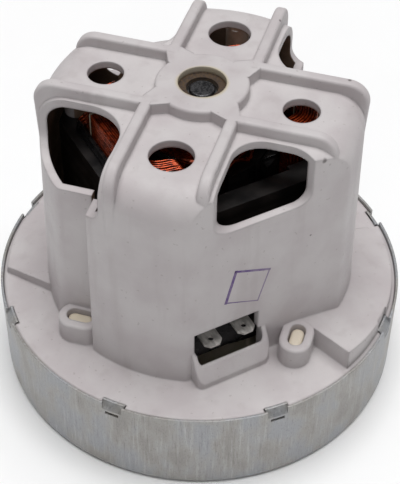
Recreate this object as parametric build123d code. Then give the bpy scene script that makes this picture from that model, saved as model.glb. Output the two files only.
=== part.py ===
from build123d import *
import math
import numpy as np
import os

# Vacuum motor unit. Millimetres, +Z up along the shaft, origin on the shaft axis
# under the steel can. The flat side with the terminals faces -Y and the four
# arms of the housing lie on the diagonals.

# Overall
quarter = 90.0
half_turn = 180.0
full_turn = 360.0
arm_angle = -45.0
arm_count = 4
overrun = 1.0
far = 200.0
contact_gap = 0.3
running_gap = 0.05
seat_gap = 0.1
press_gap = 0.02
screw_gap = 0.2

# Steel can
can_radius = 67.5
can_height = 32.1
sheet = 0.8
can_foot_round = 2.2
can_floor_step = 1.2
can_floor_inset = 17.5
inlet_radius = 19.5
inlet_lip_height = 4.2
inlet_lip_round = 1.6
crimp_count = 8
crimp_first_angle = -7.3
crimp_width = 6.6
crimp_depth = 1.7
crimp_height = 3.4
crimp_slit = 1.2
crimp_slit_width = 4.6
crimp_overlap = 0.4
crimp_root = 0.0

# Moulded housing
body_radius = 51.3
body_draft = 0.021
flat_offset = 43.0
flat_draft_angle = 0.6
wall = 2.6
roof_rise = 17.2
roof_thickness = 2.6
shoulder_round = 9.5
flange_thickness = 3.0
flange_drop = 0.6
flange_edge = 0.7
flat_edge_round = 3.0
notch_u = 22.0
notch_v = 36.7
notch_edge_round = 4.0
notch_inner_round = 1.5
notch_sharp_round = 0.8
boss_radius = 14.4
boss_height = 3.75
boss_ledge = 2.1
shaft_hole_radius = 7.4
rib_inner = 11.4
rib_outer = 15.0
rib_height = 3.8
knot_start = 6.5
knot_round = 2.0
side_rib_reach = 49.4
side_rib_drop = 23.7
flat_rib_reach = 45.6
flat_rib_drop = 18.7
rib_bend = 6.8
rib_lean = 1.2
rib_round = 1.0
hole_offset = 30.87
large_hole_radius = 6.76
small_hole_radius = 5.67
window_u = 16.3
window_v = 16.8
window_corner = 9.5
side_window_corner = 13.0
window_rim_from = 34.0
window_rim_to = 43.0
window_rim = 5.0
side_window_rim = 0.4
window_rim_round = 9.0
window_sill_rise = 0.5
window_low_round = 4.5
slit_width = 2.4
slit_depth = 9.6

# Wells for the diffuser hooks
well_u = 40.4
well_v = 28.0
slot_width = 5.0
slot_length = 9.0
well_wall = 2.7
well_top = 39.6
well_round = 0.8

# Pads on the flange
pad_top = 39.3
pad_first_angle = -72.5
pad_sweep = 62.0
pad_inner_radius = 40.5
pad_top_inset = 1.4
pad_foot_inset = 1.2
low_pad_rise = 3.5
low_pad_first_angle = 165.9
low_pad_sweep = 62.9
low_pad_face_angle = 122.2
low_pad_top_inset = 1.6

# Terminal pocket
pocket_left = -26.2
pocket_right = 0.2
pocket_front = 48.4
pocket_front_wall = 3.2
pocket_side_wall = 1.6
pocket_rim_drop = 7.4
pocket_shoulder_drop = 0.5
pocket_round = 2.2
pocket_chamfer = 3.4
cutout_left = -25.2
cutout_right = -2.5
cutout_rise = 7.4
cutout_round = 0.8

# Shaft line
shaft_radius = 4.0
shaft_core_radius = 5.5
shaft_rise = 1.4
shaft_chamfer = 0.35
bearing_radius = 11.0
bearing_width = 7.0
outer_race_inner_radius = 9.1
inner_race_outer_radius = 6.0
ball_radius = 1.985
ball_count = 7
cage_thickness = 0.9
cage_height = 5.6
low_bearing_rise = 6.6
felt_bore = 4.9
cup_wall = 2.8

# Stator
stack_rise = 10.5
stack_height = 30.0
bore_radius = 21.5
air_gap = 0.6
yoke_x = 36.5
yoke_y = 33.0
yoke_corner_radius = 45.2
horn_thickness = 3.4
slot_face_x = 31.4
slot_face_y = 24.9
side_slot_y = 26.5
side_slot_x = 16.0
neck_half = 15.0
horn_gap_half = 10.5
stator_screw_offset = 41.2
stator_screw_radius = 2.0
stator_boss_radius = 3.9
screw_head_radius = 3.6
screw_head_height = 2.6
screw_bite = 8.0
screw_tip_gap = 0.5
screw_drive = 3.0
screw_drive_depth = 1.4

# Insulating end frames
frame_plate = 1.5
frame_inset = 3.0
frame_wall = 1.1
frame_wall_height = 9.4
frame_outer_wall_height = 2.4
frame_outer_wall_x = 32.2
frame_wall_half = 20.0
frame_inner_sweep = 84.0
frame_inner_gap = 1.6

# Field coils
wire = 0.95
wire_pitch = 1.45
coil_sides = 91
coil_climb_every = 23
coil_corner = 2.0
coil_tail = 3.2
coil_seat = 0.6
coil_first_layer = 25.35

# Armature
commutator_radius = 13.5
commutator_drop = 5.4
commutator_length = 14.0
commutator_bars = 22
bar_gap = 0.5
bar_depth = 2.6
riser_height = 2.2
riser_radius = 15.2
armature_slots = 11
slot_mouth = 2.2
slot_floor = 11.6
slot_round_radius = 3.0
slot_round_offset = 15.2
slot_liner = 0.25
end_winding_radius = 19.2
end_winding_inner = 7.6
end_winding_length = 7.2
end_winding_round = 3.2
spacer_radius = 5.6

# Brush gear
brush_rise = 7.0
brush_width = 6.4
brush_height = 10.0
brush_length = 14.0
brush_travel = 4.0
brush_edge = 0.4
box_wall = 0.8
box_inner_end = 15.7
box_outer_end = 36.0
holder_wall = 2.2
holder_roof = 1.2
holder_inner_end = 18.5
holder_outer_end = 30.6
holder_foot_half = 11.0
holder_foot = 3.0
holder_edge = 0.6
holder_screw_x = 25.0
holder_screw_y = 8.6
holder_screw_radius = 1.25
holder_head_radius = 2.2
spring_wire_radius = 0.3
spring_radius = 2.3
spring_turns = 4
tag_from = 31.2
tag_width = 3.0
tag_thickness = 0.8
tag_reach = 8.6

# Bearing bridge
bridge_rise = 8.4
bridge_plate = 2.5
bridge_radius = 36.0
bridge_hub_radius = 14.2
bridge_lip = 1.0
bridge_lip_bore = 9.6
bridge_window_inner = 16.5
bridge_window_outer = 32.0
bridge_window_sweep = 44.0
bridge_lug_radius = 5.2
bridge_head_radius = 3.0
bridge_head_height = 2.0
bridge_boss_radius = 3.6
bridge_boss_length = 17.0
bridge_screw_radius = 1.7
bridge_boss_angle = 71.6
bridge_boss_wall_gap = 0.8

# Terminals
tab_width = 6.3
tab_thickness = 0.8
tab_rise = 3.6
tab_tip = 43.6
tab_inner_end = 26.6
tab_hole_radius = 0.9
tab_hole_inset = 3.2
tab_chamfer = 1.6
tab_left_x = -18.1
tab_right_x = -6.3
block_left = -27.0
block_right = 0.4
block_front = 37.4
block_back = 29.4
block_drop = 9.8
block_rise = 9.6
block_round = 0.8
rail_width = 2.0
rail_depth = 4.6
rail_foot = 1.8

# Fan
fan_inset = 10.0
back_plate_top = 18.4
plate_thickness = 0.9
eye_radius = 22.5
front_plate_eye_height = 6.2
front_plate_rim_height = 9.6
collar_height = 2.4
vane_count = 9
vane_thickness = 0.9
vane_inner_radius = 25.0
vane_lean = 58.0
vane_outer_inset = 0.5
nut_across = 13.0
nut_height = 6.0
nut_overhang = 2.2
clamp_radius = 11.0
clamp_thickness = 1.2
sleeve_radius = 6.4

# Diffuser
diffuser_plate = 2.0
diffuser_gap = 1.6
diffuser_bore = 9.5
diffuser_flow_inset = 6.9
diffuser_ring = 1.4
diffuser_ring_gap = 0.4
diffuser_vane_count = 12
diffuser_vane_thickness = 1.4
diffuser_vane_inner = 33.0
diffuser_vane_lean = 46.0
hook_gap = 0.3
hook_sink = 1.3
hook_round = 1.2

# Leads
lead_radius = 1.1
lead_share = 0.45

# Values that follow from the sizes above
flange_top = can_height - flange_drop
flange_bottom = flange_top - flange_thickness
flange_radius = can_radius - sheet - seat_gap
can_floor_radius = can_radius - can_floor_inset
pad_foot_radius = flange_radius - pad_foot_inset
fan_radius = can_radius - fan_inset
diffuser_flow_radius = can_radius - diffuser_flow_inset
low_bearing_bottom = back_plate_top + low_bearing_rise
bridge_top = low_bearing_bottom + bridge_rise
brush_axis_height = bridge_top + brush_rise
commutator_bottom = brush_axis_height - commutator_drop
commutator_top = commutator_bottom + commutator_length
stack_bottom = commutator_top + stack_rise
stack_top = stack_bottom + stack_height
roof_top = stack_top + roof_rise
roof_bottom = roof_top - roof_thickness
boss_top = roof_top + boss_height
boss_underside = boss_top - boss_ledge
rib_top = roof_top + rib_height
side_rib_foot = roof_top - side_rib_drop
flat_rib_foot = roof_top - flat_rib_drop
window_sill = stack_top + window_sill_rise
top_bearing_bottom = roof_top - bearing_width
shaft_top = roof_top + shaft_rise
tab_height = brush_axis_height + tab_rise
block_bottom = tab_height - block_drop
block_top = tab_height + block_rise
rail_bottom = block_bottom + rail_foot
cutout_top = tab_height + cutout_rise
pocket_shoulder = tab_height - pocket_shoulder_drop
pocket_rim = tab_height - pocket_rim_drop
armature_radius = bore_radius - air_gap
horn_radius = bore_radius + horn_thickness
top_bearing_top = top_bearing_bottom + bearing_width
low_bearing_top = low_bearing_bottom + bearing_width
bridge_bottom = bridge_top - bridge_plate
back_plate_bottom = back_plate_top - plate_thickness
clamp_bottom = back_plate_bottom - clamp_thickness
nut_bottom = clamp_bottom - nut_height
shaft_bottom = nut_bottom - nut_overhang
diffuser_bottom = back_plate_top + diffuser_gap
diffuser_top = diffuser_bottom + diffuser_plate
diffuser_vane_top = flange_bottom - contact_gap
bridge_boss_offset = body_radius - wall - bridge_boss_wall_gap - bridge_boss_radius
bridge_boss_flat = flat_offset - wall - bridge_boss_radius + seat_gap
coil_middle = (stack_bottom + stack_top) / 2
coil_half_y = neck_half + coil_seat + wire / 2
coil_half_z = stack_top + frame_plate + coil_seat + wire / 2 - coil_middle
brush_tip = commutator_radius + 2 * running_gap
brush_back = brush_tip + brush_length
side_step = wire_pitch / 4
coil_reach = coil_climb_every * side_step
BASE = (Align.CENTER, Align.CENTER, Align.MIN)


def disc(radius, bottom, top, x=0, y=0):
    """An upright cylinder between two heights."""
    return Pos(x, y, bottom) * Cylinder(radius, top - bottom, align=BASE)


def tube(outer, inner, bottom, top, x=0, y=0):
    """An upright tube between two heights."""
    return disc(outer, bottom, top, x, y) - disc(inner, bottom - overrun, top + overrun, x, y)


def block(x_from, x_to, y_from, y_to, bottom, top):
    """A box between two corners."""
    size = Box(x_to - x_from, y_to - y_from, top - bottom, align=BASE)
    return Pos((x_from + x_to) / 2, (y_from + y_to) / 2, bottom) * size


def turn(shape, angle):
    """The shape turned about the shaft axis."""
    return Rot(0, 0, angle) * shape


def run_edges(points, radii, closed):
    """Straight runs joined by tangent arcs, one radius for each corner."""
    corners = [Vector(*point) for point in points]
    count = len(corners)
    starts = []
    ends = []
    arcs = []
    for index, corner in enumerate(corners):
        inner = closed or 0 < index < count - 1
        radius = radii[index] if inner else 0
        if radius == 0:
            starts.append(corner)
            ends.append(corner)
            arcs.append(None)
            continue
        back = (corners[index - 1] - corner).normalized()
        ahead = (corners[(index + 1) % count] - corner).normalized()
        half = math.radians(back.get_angle(ahead)) / 2
        reach = radius / math.tan(half)
        middle = (back + ahead).normalized() * (radius / math.sin(half) - radius)
        starts.append(corner + back * reach)
        ends.append(corner + ahead * reach)
        arcs.append(ThreePointArc(corner + back * reach, corner + middle, corner + ahead * reach))
    edges = []
    for index in range(count if closed else count - 1):
        after = (index + 1) % count
        if arcs[index] is not None:
            edges.append(arcs[index])
        if (starts[after] - ends[index]).length > running_gap / far:
            edges.append(Line(ends[index], starts[after]))
    return edges


def outline(points, radii):
    """A closed face from points and one corner radius each."""
    return make_face(Wire(run_edges(points, radii, True)))


def flat_shape(points, radii, bottom, top):
    """An outline in plan, raised between two heights."""
    face = outline([(x, y, 0) for x, y in points], radii)
    return Pos(0, 0, bottom) * extrude(face, amount=top - bottom, dir=(0, 0, 1))


def turned(points, radii):
    """A profile of (radius, height) points turned about the shaft axis."""
    face = outline([(radius, 0, height) for radius, height in points], radii)
    return revolve(face, axis=Axis.Z)


def pipe(points, radii, radius):
    """A round rod along straight runs and tangent arcs."""
    path = Wire(run_edges(points, radii, False))
    first = Vector(*points[0])
    section = Plane(origin=first, z_dir=Vector(*points[1]) - first) * Circle(radius)
    return sweep(section, path=path)


def group(solids):
    """Separate solids kept together as one node."""
    return Compound(children=[solid.solid() for solid in solids])


def ring_of(count, first_angle, make):
    """Copies of a shape spaced evenly about the shaft axis."""
    return [turn(make, first_angle + full_turn * index / count) for index in range(count)]


def sector(inner, outer, sweep_angle, bottom, top):
    """A piece of a ring, centred on +X."""
    half = math.radians(sweep_angle) / 2
    reach = far / math.cos(half)
    side = reach * math.sin(half)
    wedge = flat_shape([(0, 0), (far, -side), (far, side)], [0, 0, 0], bottom, top)
    return tube(outer, inner, bottom, top) & wedge


def near(shape, x, y, reach):
    """Upright edges whose lower end stands close to a place in plan."""
    picked = []
    for edge in shape.edges():
        low, high = sorted((edge @ 0, edge @ 1), key=lambda point: point.Z)
        tall = high.Z - low.Z > reach
        if tall and math.hypot(low.X - x, low.Y - y) < reach:
            picked.append(edge)
    return picked


def radius_at(height):
    """Outer radius of the drafted housing wall."""
    return body_radius - body_draft * (height - flange_top)


# Steel can
def fan_cover():
    inside = can_radius - sheet
    floor = can_floor_step
    lip = inlet_lip_height
    shell = turned(
        [
            (inlet_radius, floor),
            (can_floor_radius - floor, floor),
            (can_floor_radius, 0),
            (can_radius, 0),
            (can_radius, can_height),
            (inside, can_height),
            (inside, sheet),
            (can_floor_radius, sheet),
            (can_floor_radius - floor, floor + sheet),
            (inlet_radius + sheet, floor + sheet),
            (inlet_radius + sheet, lip),
            (inlet_radius, lip),
        ],
        [inlet_lip_round, sheet, sheet, can_foot_round, 0, 0]
        + [can_foot_round - sheet, sheet, sheet, sheet, 0, 0],
    )
    crimp_bottom = can_height - crimp_height
    half = crimp_width / 2
    gap = block(inside - sheet, far, -half, half, crimp_bottom, far)
    half = crimp_slit_width / 2
    gap += block(inside - sheet, far, -half, half, crimp_bottom - crimp_slit, crimp_bottom + overrun)
    for cut in ring_of(crimp_count, crimp_first_angle, gap):
        shell -= cut
    tab = turned(
        [
            (inside - crimp_root, crimp_bottom),
            (can_radius - crimp_root, crimp_bottom),
            (can_radius - crimp_root, crimp_bottom + sheet),
            (can_radius - crimp_depth, can_height),
            (inside - crimp_depth, can_height),
            (inside - crimp_root, crimp_bottom + sheet),
        ],
        [0, 0, 0, 0, 0, 0],
    )
    half = crimp_width / 2 + crimp_overlap
    tab &= block(0, far, -half, half, 0, far)
    for piece in ring_of(crimp_count, crimp_first_angle, tab):
        shell += piece
    return shell


# Housing
def notch(inset):
    """The corner cut out of the wall beside a well, for the -X side."""
    edge_u = -notch_u + inset
    edge_v = -notch_v + inset
    corner = block(-far, edge_u, -far, edge_v, -far, far)
    return turn(corner, arm_angle)


def body_form(inset, bottom, top):
    """The closed form of the body, drawn in by an inset from its outside."""
    form = turned(
        [
            (0, bottom),
            (radius_at(bottom) - inset, bottom),
            (radius_at(top) - inset, top),
            (0, top),
        ],
        [0, 0, 0, 0],
    )
    form = turn(form, -quarter)
    flat = Rot(-flat_draft_angle, 0, 0) * block(-far, far, -far, 0, -far, far)
    form -= Pos(0, inset - flat_offset, flange_top) * flat
    for angle in (0, -quarter, half_turn):
        form -= turn(notch(inset), angle)
    return form


def soften_body(form, inset, bottom):
    """Rounds on the upright edges of the body."""
    radius = radius_at(bottom) - inset
    side = flat_offset - inset
    reach = math.sqrt(radius ** 2 - side ** 2)
    edges = near(form, reach, -side, overrun) + near(form, -reach, -side, overrun)
    form = fillet(edges, flat_edge_round)
    edge_u = -notch_u + inset
    edge_v = -notch_v + inset
    wide = (-math.sqrt(radius ** 2 - edge_v ** 2), edge_v)
    narrow = (edge_u, -math.sqrt(radius ** 2 - edge_u ** 2))
    places = ((wide, notch_edge_round), ((edge_u, edge_v), notch_inner_round), (narrow, notch_sharp_round))
    for place, round_radius in places:
        edges = []
        for angle in (0, -quarter, half_turn):
            spot = Vector(*place, 0).rotate(Axis.Z, arm_angle + angle)
            edges += near(form, spot.X, spot.Y, overrun)
        form = fillet(edges, round_radius)
    return form


def shoulder_tool(inset, top, round_radius):
    """The ring outside a quarter round between the roof and the wall."""
    edge = radius_at(top - round_radius) - inset
    start = Vector(edge - round_radius, 0, top)
    end = Vector(edge, 0, top - round_radius)
    lean = round_radius * (1 - math.sqrt(1 / 2))
    middle = Vector(edge - lean, 0, top - lean)
    outer = Vector(far, 0, top - round_radius)
    crown = Vector(far, 0, top + overrun)
    inner = Vector(edge - round_radius, 0, top + overrun)
    edges = [
        ThreePointArc(start, middle, end),
        Line(end, outer),
        Line(outer, crown),
        Line(crown, inner),
        Line(inner, start),
    ]
    return revolve(make_face(Wire(edges)), axis=Axis.Z)


def rib(reach, foot):
    """One raised rib along an arm, for the arm on +X."""
    foot_reach = reach - rib_lean
    side = outline(
        [
            (rib_inner, 0, roof_bottom),
            (rib_inner, 0, rib_top),
            (reach, 0, rib_top),
            (foot_reach, 0, foot),
            (foot_reach - rib_bend, 0, foot),
            (foot_reach - rib_bend, 0, roof_bottom),
        ],
        [0, 0, rib_bend, 0, 0, 0],
    )
    width = rib_outer - rib_inner
    solid = Pos(0, rib_inner, 0) * extrude(side, amount=width, dir=(0, 1, 0))
    rims = [edge for edge in solid.edges() if on_rib_rim(edge, foot, foot_reach - rib_bend)]
    return fillet(rims, rib_round)


def on_rib_rim(edge, foot, back):
    """Whether an edge runs along the crown or down the outer end of a rib."""
    start = edge @ 0
    end = edge @ 1
    along = abs(start.Y - end.Y) < running_gap
    crown = min(start.Z, end.Z) > roof_top
    outer = min(start.X, end.X) > back + running_gap and min(start.Z, end.Z) > foot - running_gap
    return along and (crown or outer)


def rib_knot():
    """The web between the boss and the place where the ribs of two arms meet."""
    side = math.sqrt(boss_radius ** 2 - knot_start ** 2)
    form = flat_shape(
        [
            (0, 0),
            (knot_start, -side),
            (rib_inner, -rib_outer),
            (rib_outer, -rib_outer),
            (rib_outer, -rib_inner),
            (side, -knot_start),
        ],
        [0, 0, knot_round, 0, knot_round, 0],
        roof_bottom,
        boss_top,
    )
    return form


def window_cut(corner, rim):
    """The opening between two arms, for the -Y side, in arm coordinates."""
    cut = flat_shape(
        [
            (window_u, -window_v),
            (window_rim_from, -window_v),
            (window_rim_to, -window_v - rim),
            (far, -window_v - rim),
            (far, -far),
            (window_u, -far),
        ],
        [corner, window_rim_round, window_rim_round / 2, 0, 0, 0],
        window_sill,
        far,
    )
    inner = [edge for edge in cut.faces().sort_by(Axis.Z)[0].edges() if near_window(edge)]
    return turn(fillet(inner, window_low_round), arm_angle)


def near_window(edge):
    """Whether an edge of the window's floor lies on its two inner sides."""
    middle = edge @ (1 / 2)
    return middle.X < far - overrun and middle.Y > overrun - far


def well_outline(grow):
    """The rounded slot of a well, for the -Y side, in arm coordinates."""
    slot = SlotOverall(slot_length + 2 * grow, slot_width + 2 * grow, rotation=quarter)
    return Pos(well_u, -well_v, 0) * slot


def pad(top, first_angle, sweep_angle, top_inset):
    """A raised stretch of the flange that falls away along its length."""
    rise = top - flange_top
    crown = turned(
        [
            (pad_inner_radius, flange_top - overrun),
            (pad_foot_radius, flange_top - overrun),
            (pad_foot_radius, flange_top),
            (flange_radius - top_inset, top),
            (pad_inner_radius, top),
        ],
        [0, 0, 0, 0, 0],
    )
    direction = math.copysign(1, sweep_angle)
    half = abs(sweep_angle) / 2
    reach = sector(0, far, abs(sweep_angle), flange_top - 2 * overrun, far)
    crown &= turn(reach, first_angle + direction * half)
    span = body_radius * math.radians(abs(sweep_angle))
    tilt = math.degrees(math.atan2(rise, span))
    lid = Pos(0, 0, top) * (Rot(-direction * tilt, 0, 0) * block(-far, far, -far, far, 0, far))
    return crown - turn(lid, first_angle)


def low_pad():
    """The low pad on the far side, with its end face askew."""
    form = pad(flange_top + low_pad_rise, low_pad_first_angle, -low_pad_sweep, low_pad_top_inset)
    face = Rot(0, 0, low_pad_face_angle) * block(-far, far, 0, far, 0, far)
    corner = Vector(body_radius, 0, 0).rotate(Axis.Z, low_pad_first_angle)
    return form - Pos(corner.X, corner.Y, 0) * face


def pocket_plan(grow):
    """Plan of the terminal pocket in front of the wall."""
    left = pocket_left - grow
    right = pocket_right + grow
    front = -pocket_front - grow
    return [(left, -flat_offset + wall), (left, front), (right, front), (right, -flat_offset + wall)]


def terminal_pocket():
    """The shield in front of the terminals."""
    form = flat_shape(pocket_plan(0), [0, pocket_round, pocket_chamfer, 0], flange_bottom, pocket_shoulder)
    fall = pocket_shoulder - pocket_rim
    depth = pocket_front - flat_offset
    angle = math.degrees(math.atan2(fall, depth - pocket_front_wall / 2))
    slope = Rot(angle, 0, 0) * block(-far, far, -far, far, 0, far)
    form -= Pos(0, -flat_offset, pocket_shoulder) * slope
    return form - block(-far, far, -far, far, pocket_shoulder, far)


def pocket_hollow():
    """The space between the shield and the terminals."""
    left = pocket_left + pocket_side_wall
    right = pocket_right - pocket_side_wall
    front = -pocket_front + pocket_front_wall
    back = -flat_offset + 2 * wall
    lower = flat_shape(
        [(left, back), (left, front), (right, front), (right, back)],
        [0, pocket_round / 2, pocket_chamfer / 2, 0],
        flange_top,
        pocket_shoulder,
    )
    upper = block(cutout_left, cutout_right, -far, back, pocket_shoulder - overrun, cutout_top)
    return lower + upper


def stator_bosses():
    """Posts under the roof that the stator is screwed against."""
    post = disc(stator_boss_radius, stack_top, roof_bottom + overrun, stator_screw_offset)
    return ring_of(arm_count, arm_angle, post)


def bridge_places():
    """Where the bearing bridge is screwed to the housing."""
    places = []
    for angle in (bridge_boss_angle, bridge_boss_angle + quarter, bridge_boss_angle - quarter):
        spot = Vector(bridge_boss_offset, 0, 0).rotate(Axis.Z, angle)
        places.append((spot.X, spot.Y))
    places.append((bridge_boss_offset * math.cos(math.radians(bridge_boss_angle)), -bridge_boss_flat))
    return places


def bridge_boss(place):
    """A screw boss on the inside of the wall, with its web."""
    x, y = place
    top = bridge_top + bridge_boss_length
    angle = math.degrees(math.atan2(y, x))
    distance = math.hypot(x, y)
    half = bridge_boss_radius / 2
    web = block(distance, distance + bridge_boss_radius + wall, -half, half, bridge_top, top)
    return disc(bridge_boss_radius, bridge_top, top, x, y) + turn(web, angle)


def terminal_rails():
    """Two upright rails inside the wall that hold the terminal block."""
    inner = -flat_offset + wall
    rails = []
    for edge in (block_left - seat_gap - rail_width, block_right + seat_gap):
        rail = block(edge, edge + rail_width, inner - wall / 2, inner + rail_depth, rail_bottom, block_top)
        rails.append(rail)
    return rails


def slit():
    """The narrow slot below the left window, at the inner corner of the notch."""
    edge_u = -notch_u + slit_width
    edge_v = -notch_v + wall + overrun
    low = window_sill - slit_depth
    cut = block(-notch_u - overrun, edge_u, -notch_v - overrun, edge_v, low, window_sill + overrun)
    return turn(cut, arm_angle)


def motor_housing():
    outer_bottom = flange_bottom
    shell = body_form(0, outer_bottom, roof_top)
    shell = soften_body(shell, 0, outer_bottom)
    shell -= shoulder_tool(0, roof_top, shoulder_round)
    flat_rib = rib(flat_rib_reach, flat_rib_foot)
    side_rib = rib(side_rib_reach, side_rib_foot)
    for index in range(arm_count):
        pair = (side_rib, mirror(flat_rib, Plane.XZ))
        if index % 2:
            pair = (flat_rib, mirror(side_rib, Plane.XZ))
        for side in pair:
            shell += turn(side, arm_angle + quarter * index)
    boss = disc(boss_radius, roof_bottom, boss_top)
    shell += fillet(boss.edges().sort_by(Axis.Z)[-1], rib_round)
    for index in range(arm_count):
        shell += turn(rib_knot(), arm_angle + quarter * index)
    flange = disc(flange_radius, flange_bottom, flange_top)
    shell += chamfer(flange.edges().sort_by(Axis.Z)[-1], flange_edge)
    well = extrude(well_outline(well_wall), amount=well_top - flange_bottom)
    well = fillet(well.faces().sort_by(Axis.Z)[-1].edges(), well_round)
    well = Pos(0, 0, flange_bottom) * well
    for index in range(arm_count):
        shell += turn(well, arm_angle - quarter * index)
    shell += pad(pad_top, pad_first_angle, pad_sweep, pad_top_inset)
    shell += low_pad()
    shell += terminal_pocket()
    cavity = body_form(wall, flange_bottom - overrun, roof_bottom)
    cavity -= shoulder_tool(wall, roof_bottom, shoulder_round - wall)
    cup = disc(bearing_radius + cup_wall, top_bearing_bottom, roof_top)
    cavity -= cup
    for post in stator_bosses():
        cavity -= post
    for place in bridge_places():
        cavity -= bridge_boss(place)
    for rail in terminal_rails():
        cavity -= rail
    shell -= cavity
    for index in range(arm_count):
        cut = window_cut(window_corner, window_rim)
        if index % 2:
            cut = window_cut(side_window_corner, side_window_rim)
        shell -= turn(cut, -quarter * index)
    shell -= slit()
    for index in range(arm_count):
        radius = small_hole_radius if index % 2 == 0 else large_hole_radius
        shell -= turn(disc(radius, roof_bottom - overrun, far, hole_offset), arm_angle + quarter * index)
    slot = Pos(0, 0, flange_bottom - overrun) * extrude(well_outline(0), amount=far)
    for index in range(arm_count):
        shell -= turn(slot, arm_angle - quarter * index) & disc(far, 0, well_top + overrun)
    shell -= pocket_hollow()
    shell -= disc(shaft_hole_radius, roof_bottom - overrun, far)
    shell -= disc(bearing_radius, top_bearing_bottom - overrun, boss_underside)
    for index in range(2):
        pilot = disc(stator_screw_radius + running_gap, stack_top - overrun, stack_top + screw_bite,
                     stator_screw_offset)
        shell -= turn(pilot, arm_angle + quarter + half_turn * index)
    for x, y in bridge_places():
        shell -= disc(bridge_screw_radius, bridge_top - overrun, bridge_top + screw_bite, x, y)
    dent = tube(far, flange_radius - crimp_depth - seat_gap, flange_bottom - overrun, far)
    half = crimp_width / 2 + crimp_overlap + contact_gap
    dent &= block(0, far, -half, half, 0, far)
    for cut in ring_of(crimp_count, crimp_first_angle, dent):
        shell -= cut
    return shell


# Stator
def slot_space(bottom, top):
    """The space for the coil sides and between the pole horns."""
    space = block(-slot_face_x, slot_face_x, -slot_face_y, slot_face_y, bottom, top)
    space += block(-side_slot_x, side_slot_x, -side_slot_y, side_slot_y, bottom, top)
    low = bottom - overrun
    high = top + overrun
    space -= disc(horn_radius, low, high)
    space -= block(-far, -bore_radius, -neck_half, neck_half, low, high)
    space -= block(bore_radius, far, -neck_half, neck_half, low, high)
    return space + block(-horn_gap_half, horn_gap_half, -side_slot_y, side_slot_y, bottom, top)


def stator_screw_places():
    """Angles of the two long screws, on opposite arms."""
    return [arm_angle + quarter, arm_angle + quarter + half_turn]


def stator_core():
    core = block(-yoke_x, yoke_x, -yoke_y, yoke_y, stack_bottom, stack_top)
    core &= disc(yoke_corner_radius, stack_bottom, stack_top)
    low = stack_bottom - overrun
    high = stack_top + overrun
    core -= slot_space(low, high)
    core -= disc(bore_radius, low, high)
    hole = disc(stator_screw_radius + screw_gap, low, high, stator_screw_offset)
    for angle in stator_screw_places():
        core -= turn(hole, angle)
    return core


def coil_frame(upward):
    """The black frames on one end of the two poles, drawn for the upper end."""
    bottom = stack_top
    top = bottom + frame_plate
    reach = yoke_x - frame_inset
    plate = block(-reach, reach, -frame_wall_half, frame_wall_half, bottom, top)
    plate -= slot_space(bottom - overrun, top + overrun)
    plate -= disc(bore_radius + air_gap, bottom - overrun, top + overrun)
    wall_top = top + frame_wall_height
    outer_x = frame_outer_wall_x + frame_wall
    outer_top = top + frame_outer_wall_height
    outer = block(frame_outer_wall_x, outer_x, -frame_wall_half, frame_wall_half, bottom, outer_top)
    inner_radius = bore_radius + frame_inner_gap
    inner_top = wall_top - frame_wall
    inner = sector(inner_radius, inner_radius + frame_wall, frame_inner_sweep, bottom, inner_top)
    for angle in (0, half_turn):
        plate += turn(outer, angle)
        plate += turn(inner, angle)
    if upward:
        return plate
    return Pos(0, 0, stack_bottom + stack_top) * (Rot(half_turn, 0, 0) * plate)


def screw(radius, head_radius, head_height, length):
    """A screw pointing up, with the seat of its head at height zero."""
    body = disc(radius, 0, length)
    body += disc(head_radius, -head_height, 0)
    drive = extrude(RegularPolygon(screw_drive / 2, 6), amount=screw_drive_depth)
    return body - Pos(0, 0, -head_height) * drive


def stator_screws():
    length = stack_top - stack_bottom + screw_bite - screw_tip_gap
    one = screw(stator_screw_radius, screw_head_radius, screw_head_height, length)
    one = Pos(stator_screw_offset, 0, stack_bottom) * one
    return group([turn(one, angle) for angle in stator_screw_places()])


def coil_offset(index):
    """How far a side of the winding lies outside the innermost ring."""
    return abs(coil_climb_every - (index + 1) % (2 * coil_climb_every)) * side_step


def coil_place(index):
    """The axis on which a side of the winding lies off the middle, and how far."""
    reach_y = coil_half_y + coil_offset(index)
    reach_z = coil_half_z + coil_offset(index)
    places = (("y", -reach_y), ("z", reach_z), ("y", reach_y), ("z", -reach_z))
    return places[index % len(places)]


def coil_points():
    """The corners of the winding: in and out in four layers, one wire throughout."""
    bottom = coil_middle - coil_half_z - coil_reach - coil_tail
    points = [(coil_first_layer, coil_place(0)[1], bottom)]
    for index in range(coil_sides - 1):
        place = dict([coil_place(index), coil_place(index + 1)])
        layer = coil_first_layer + (index + 1) // coil_climb_every * wire_pitch
        points.append((layer, place["y"], coil_middle + place["z"]))
    points.append((layer, coil_place(coil_sides - 1)[1], bottom))
    return points


def least_gap(edges, thickness):
    """The least gap of a wire to itself, from points along its middle line."""
    places = []
    for edge in edges:
        steps = math.ceil(edge.length / (thickness / 2))
        places += [edge @ (index / steps) for index in range(steps)]
    path = np.array([(place.X, place.Y, place.Z) for place in places])
    travel = np.concatenate(([0], np.cumsum(np.linalg.norm(np.diff(path, axis=0), axis=1))))
    least = far
    for index in range(len(path)):
        away = path[travel > travel[index] + 4 * coil_corner]
        if len(away):
            least = min(least, np.linalg.norm(away - path[index], axis=1).min())
    return least - thickness


def field_coil():
    """The right coil as one wire, with both ends hanging below."""
    points = coil_points()
    radii = [coil_corner + abs(y) - coil_half_y for x, y, z in points]
    print("field coil least gap", round(least_gap(run_edges(points, radii, False), wire), 2))
    return pipe(points, radii, wire / 2)


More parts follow.
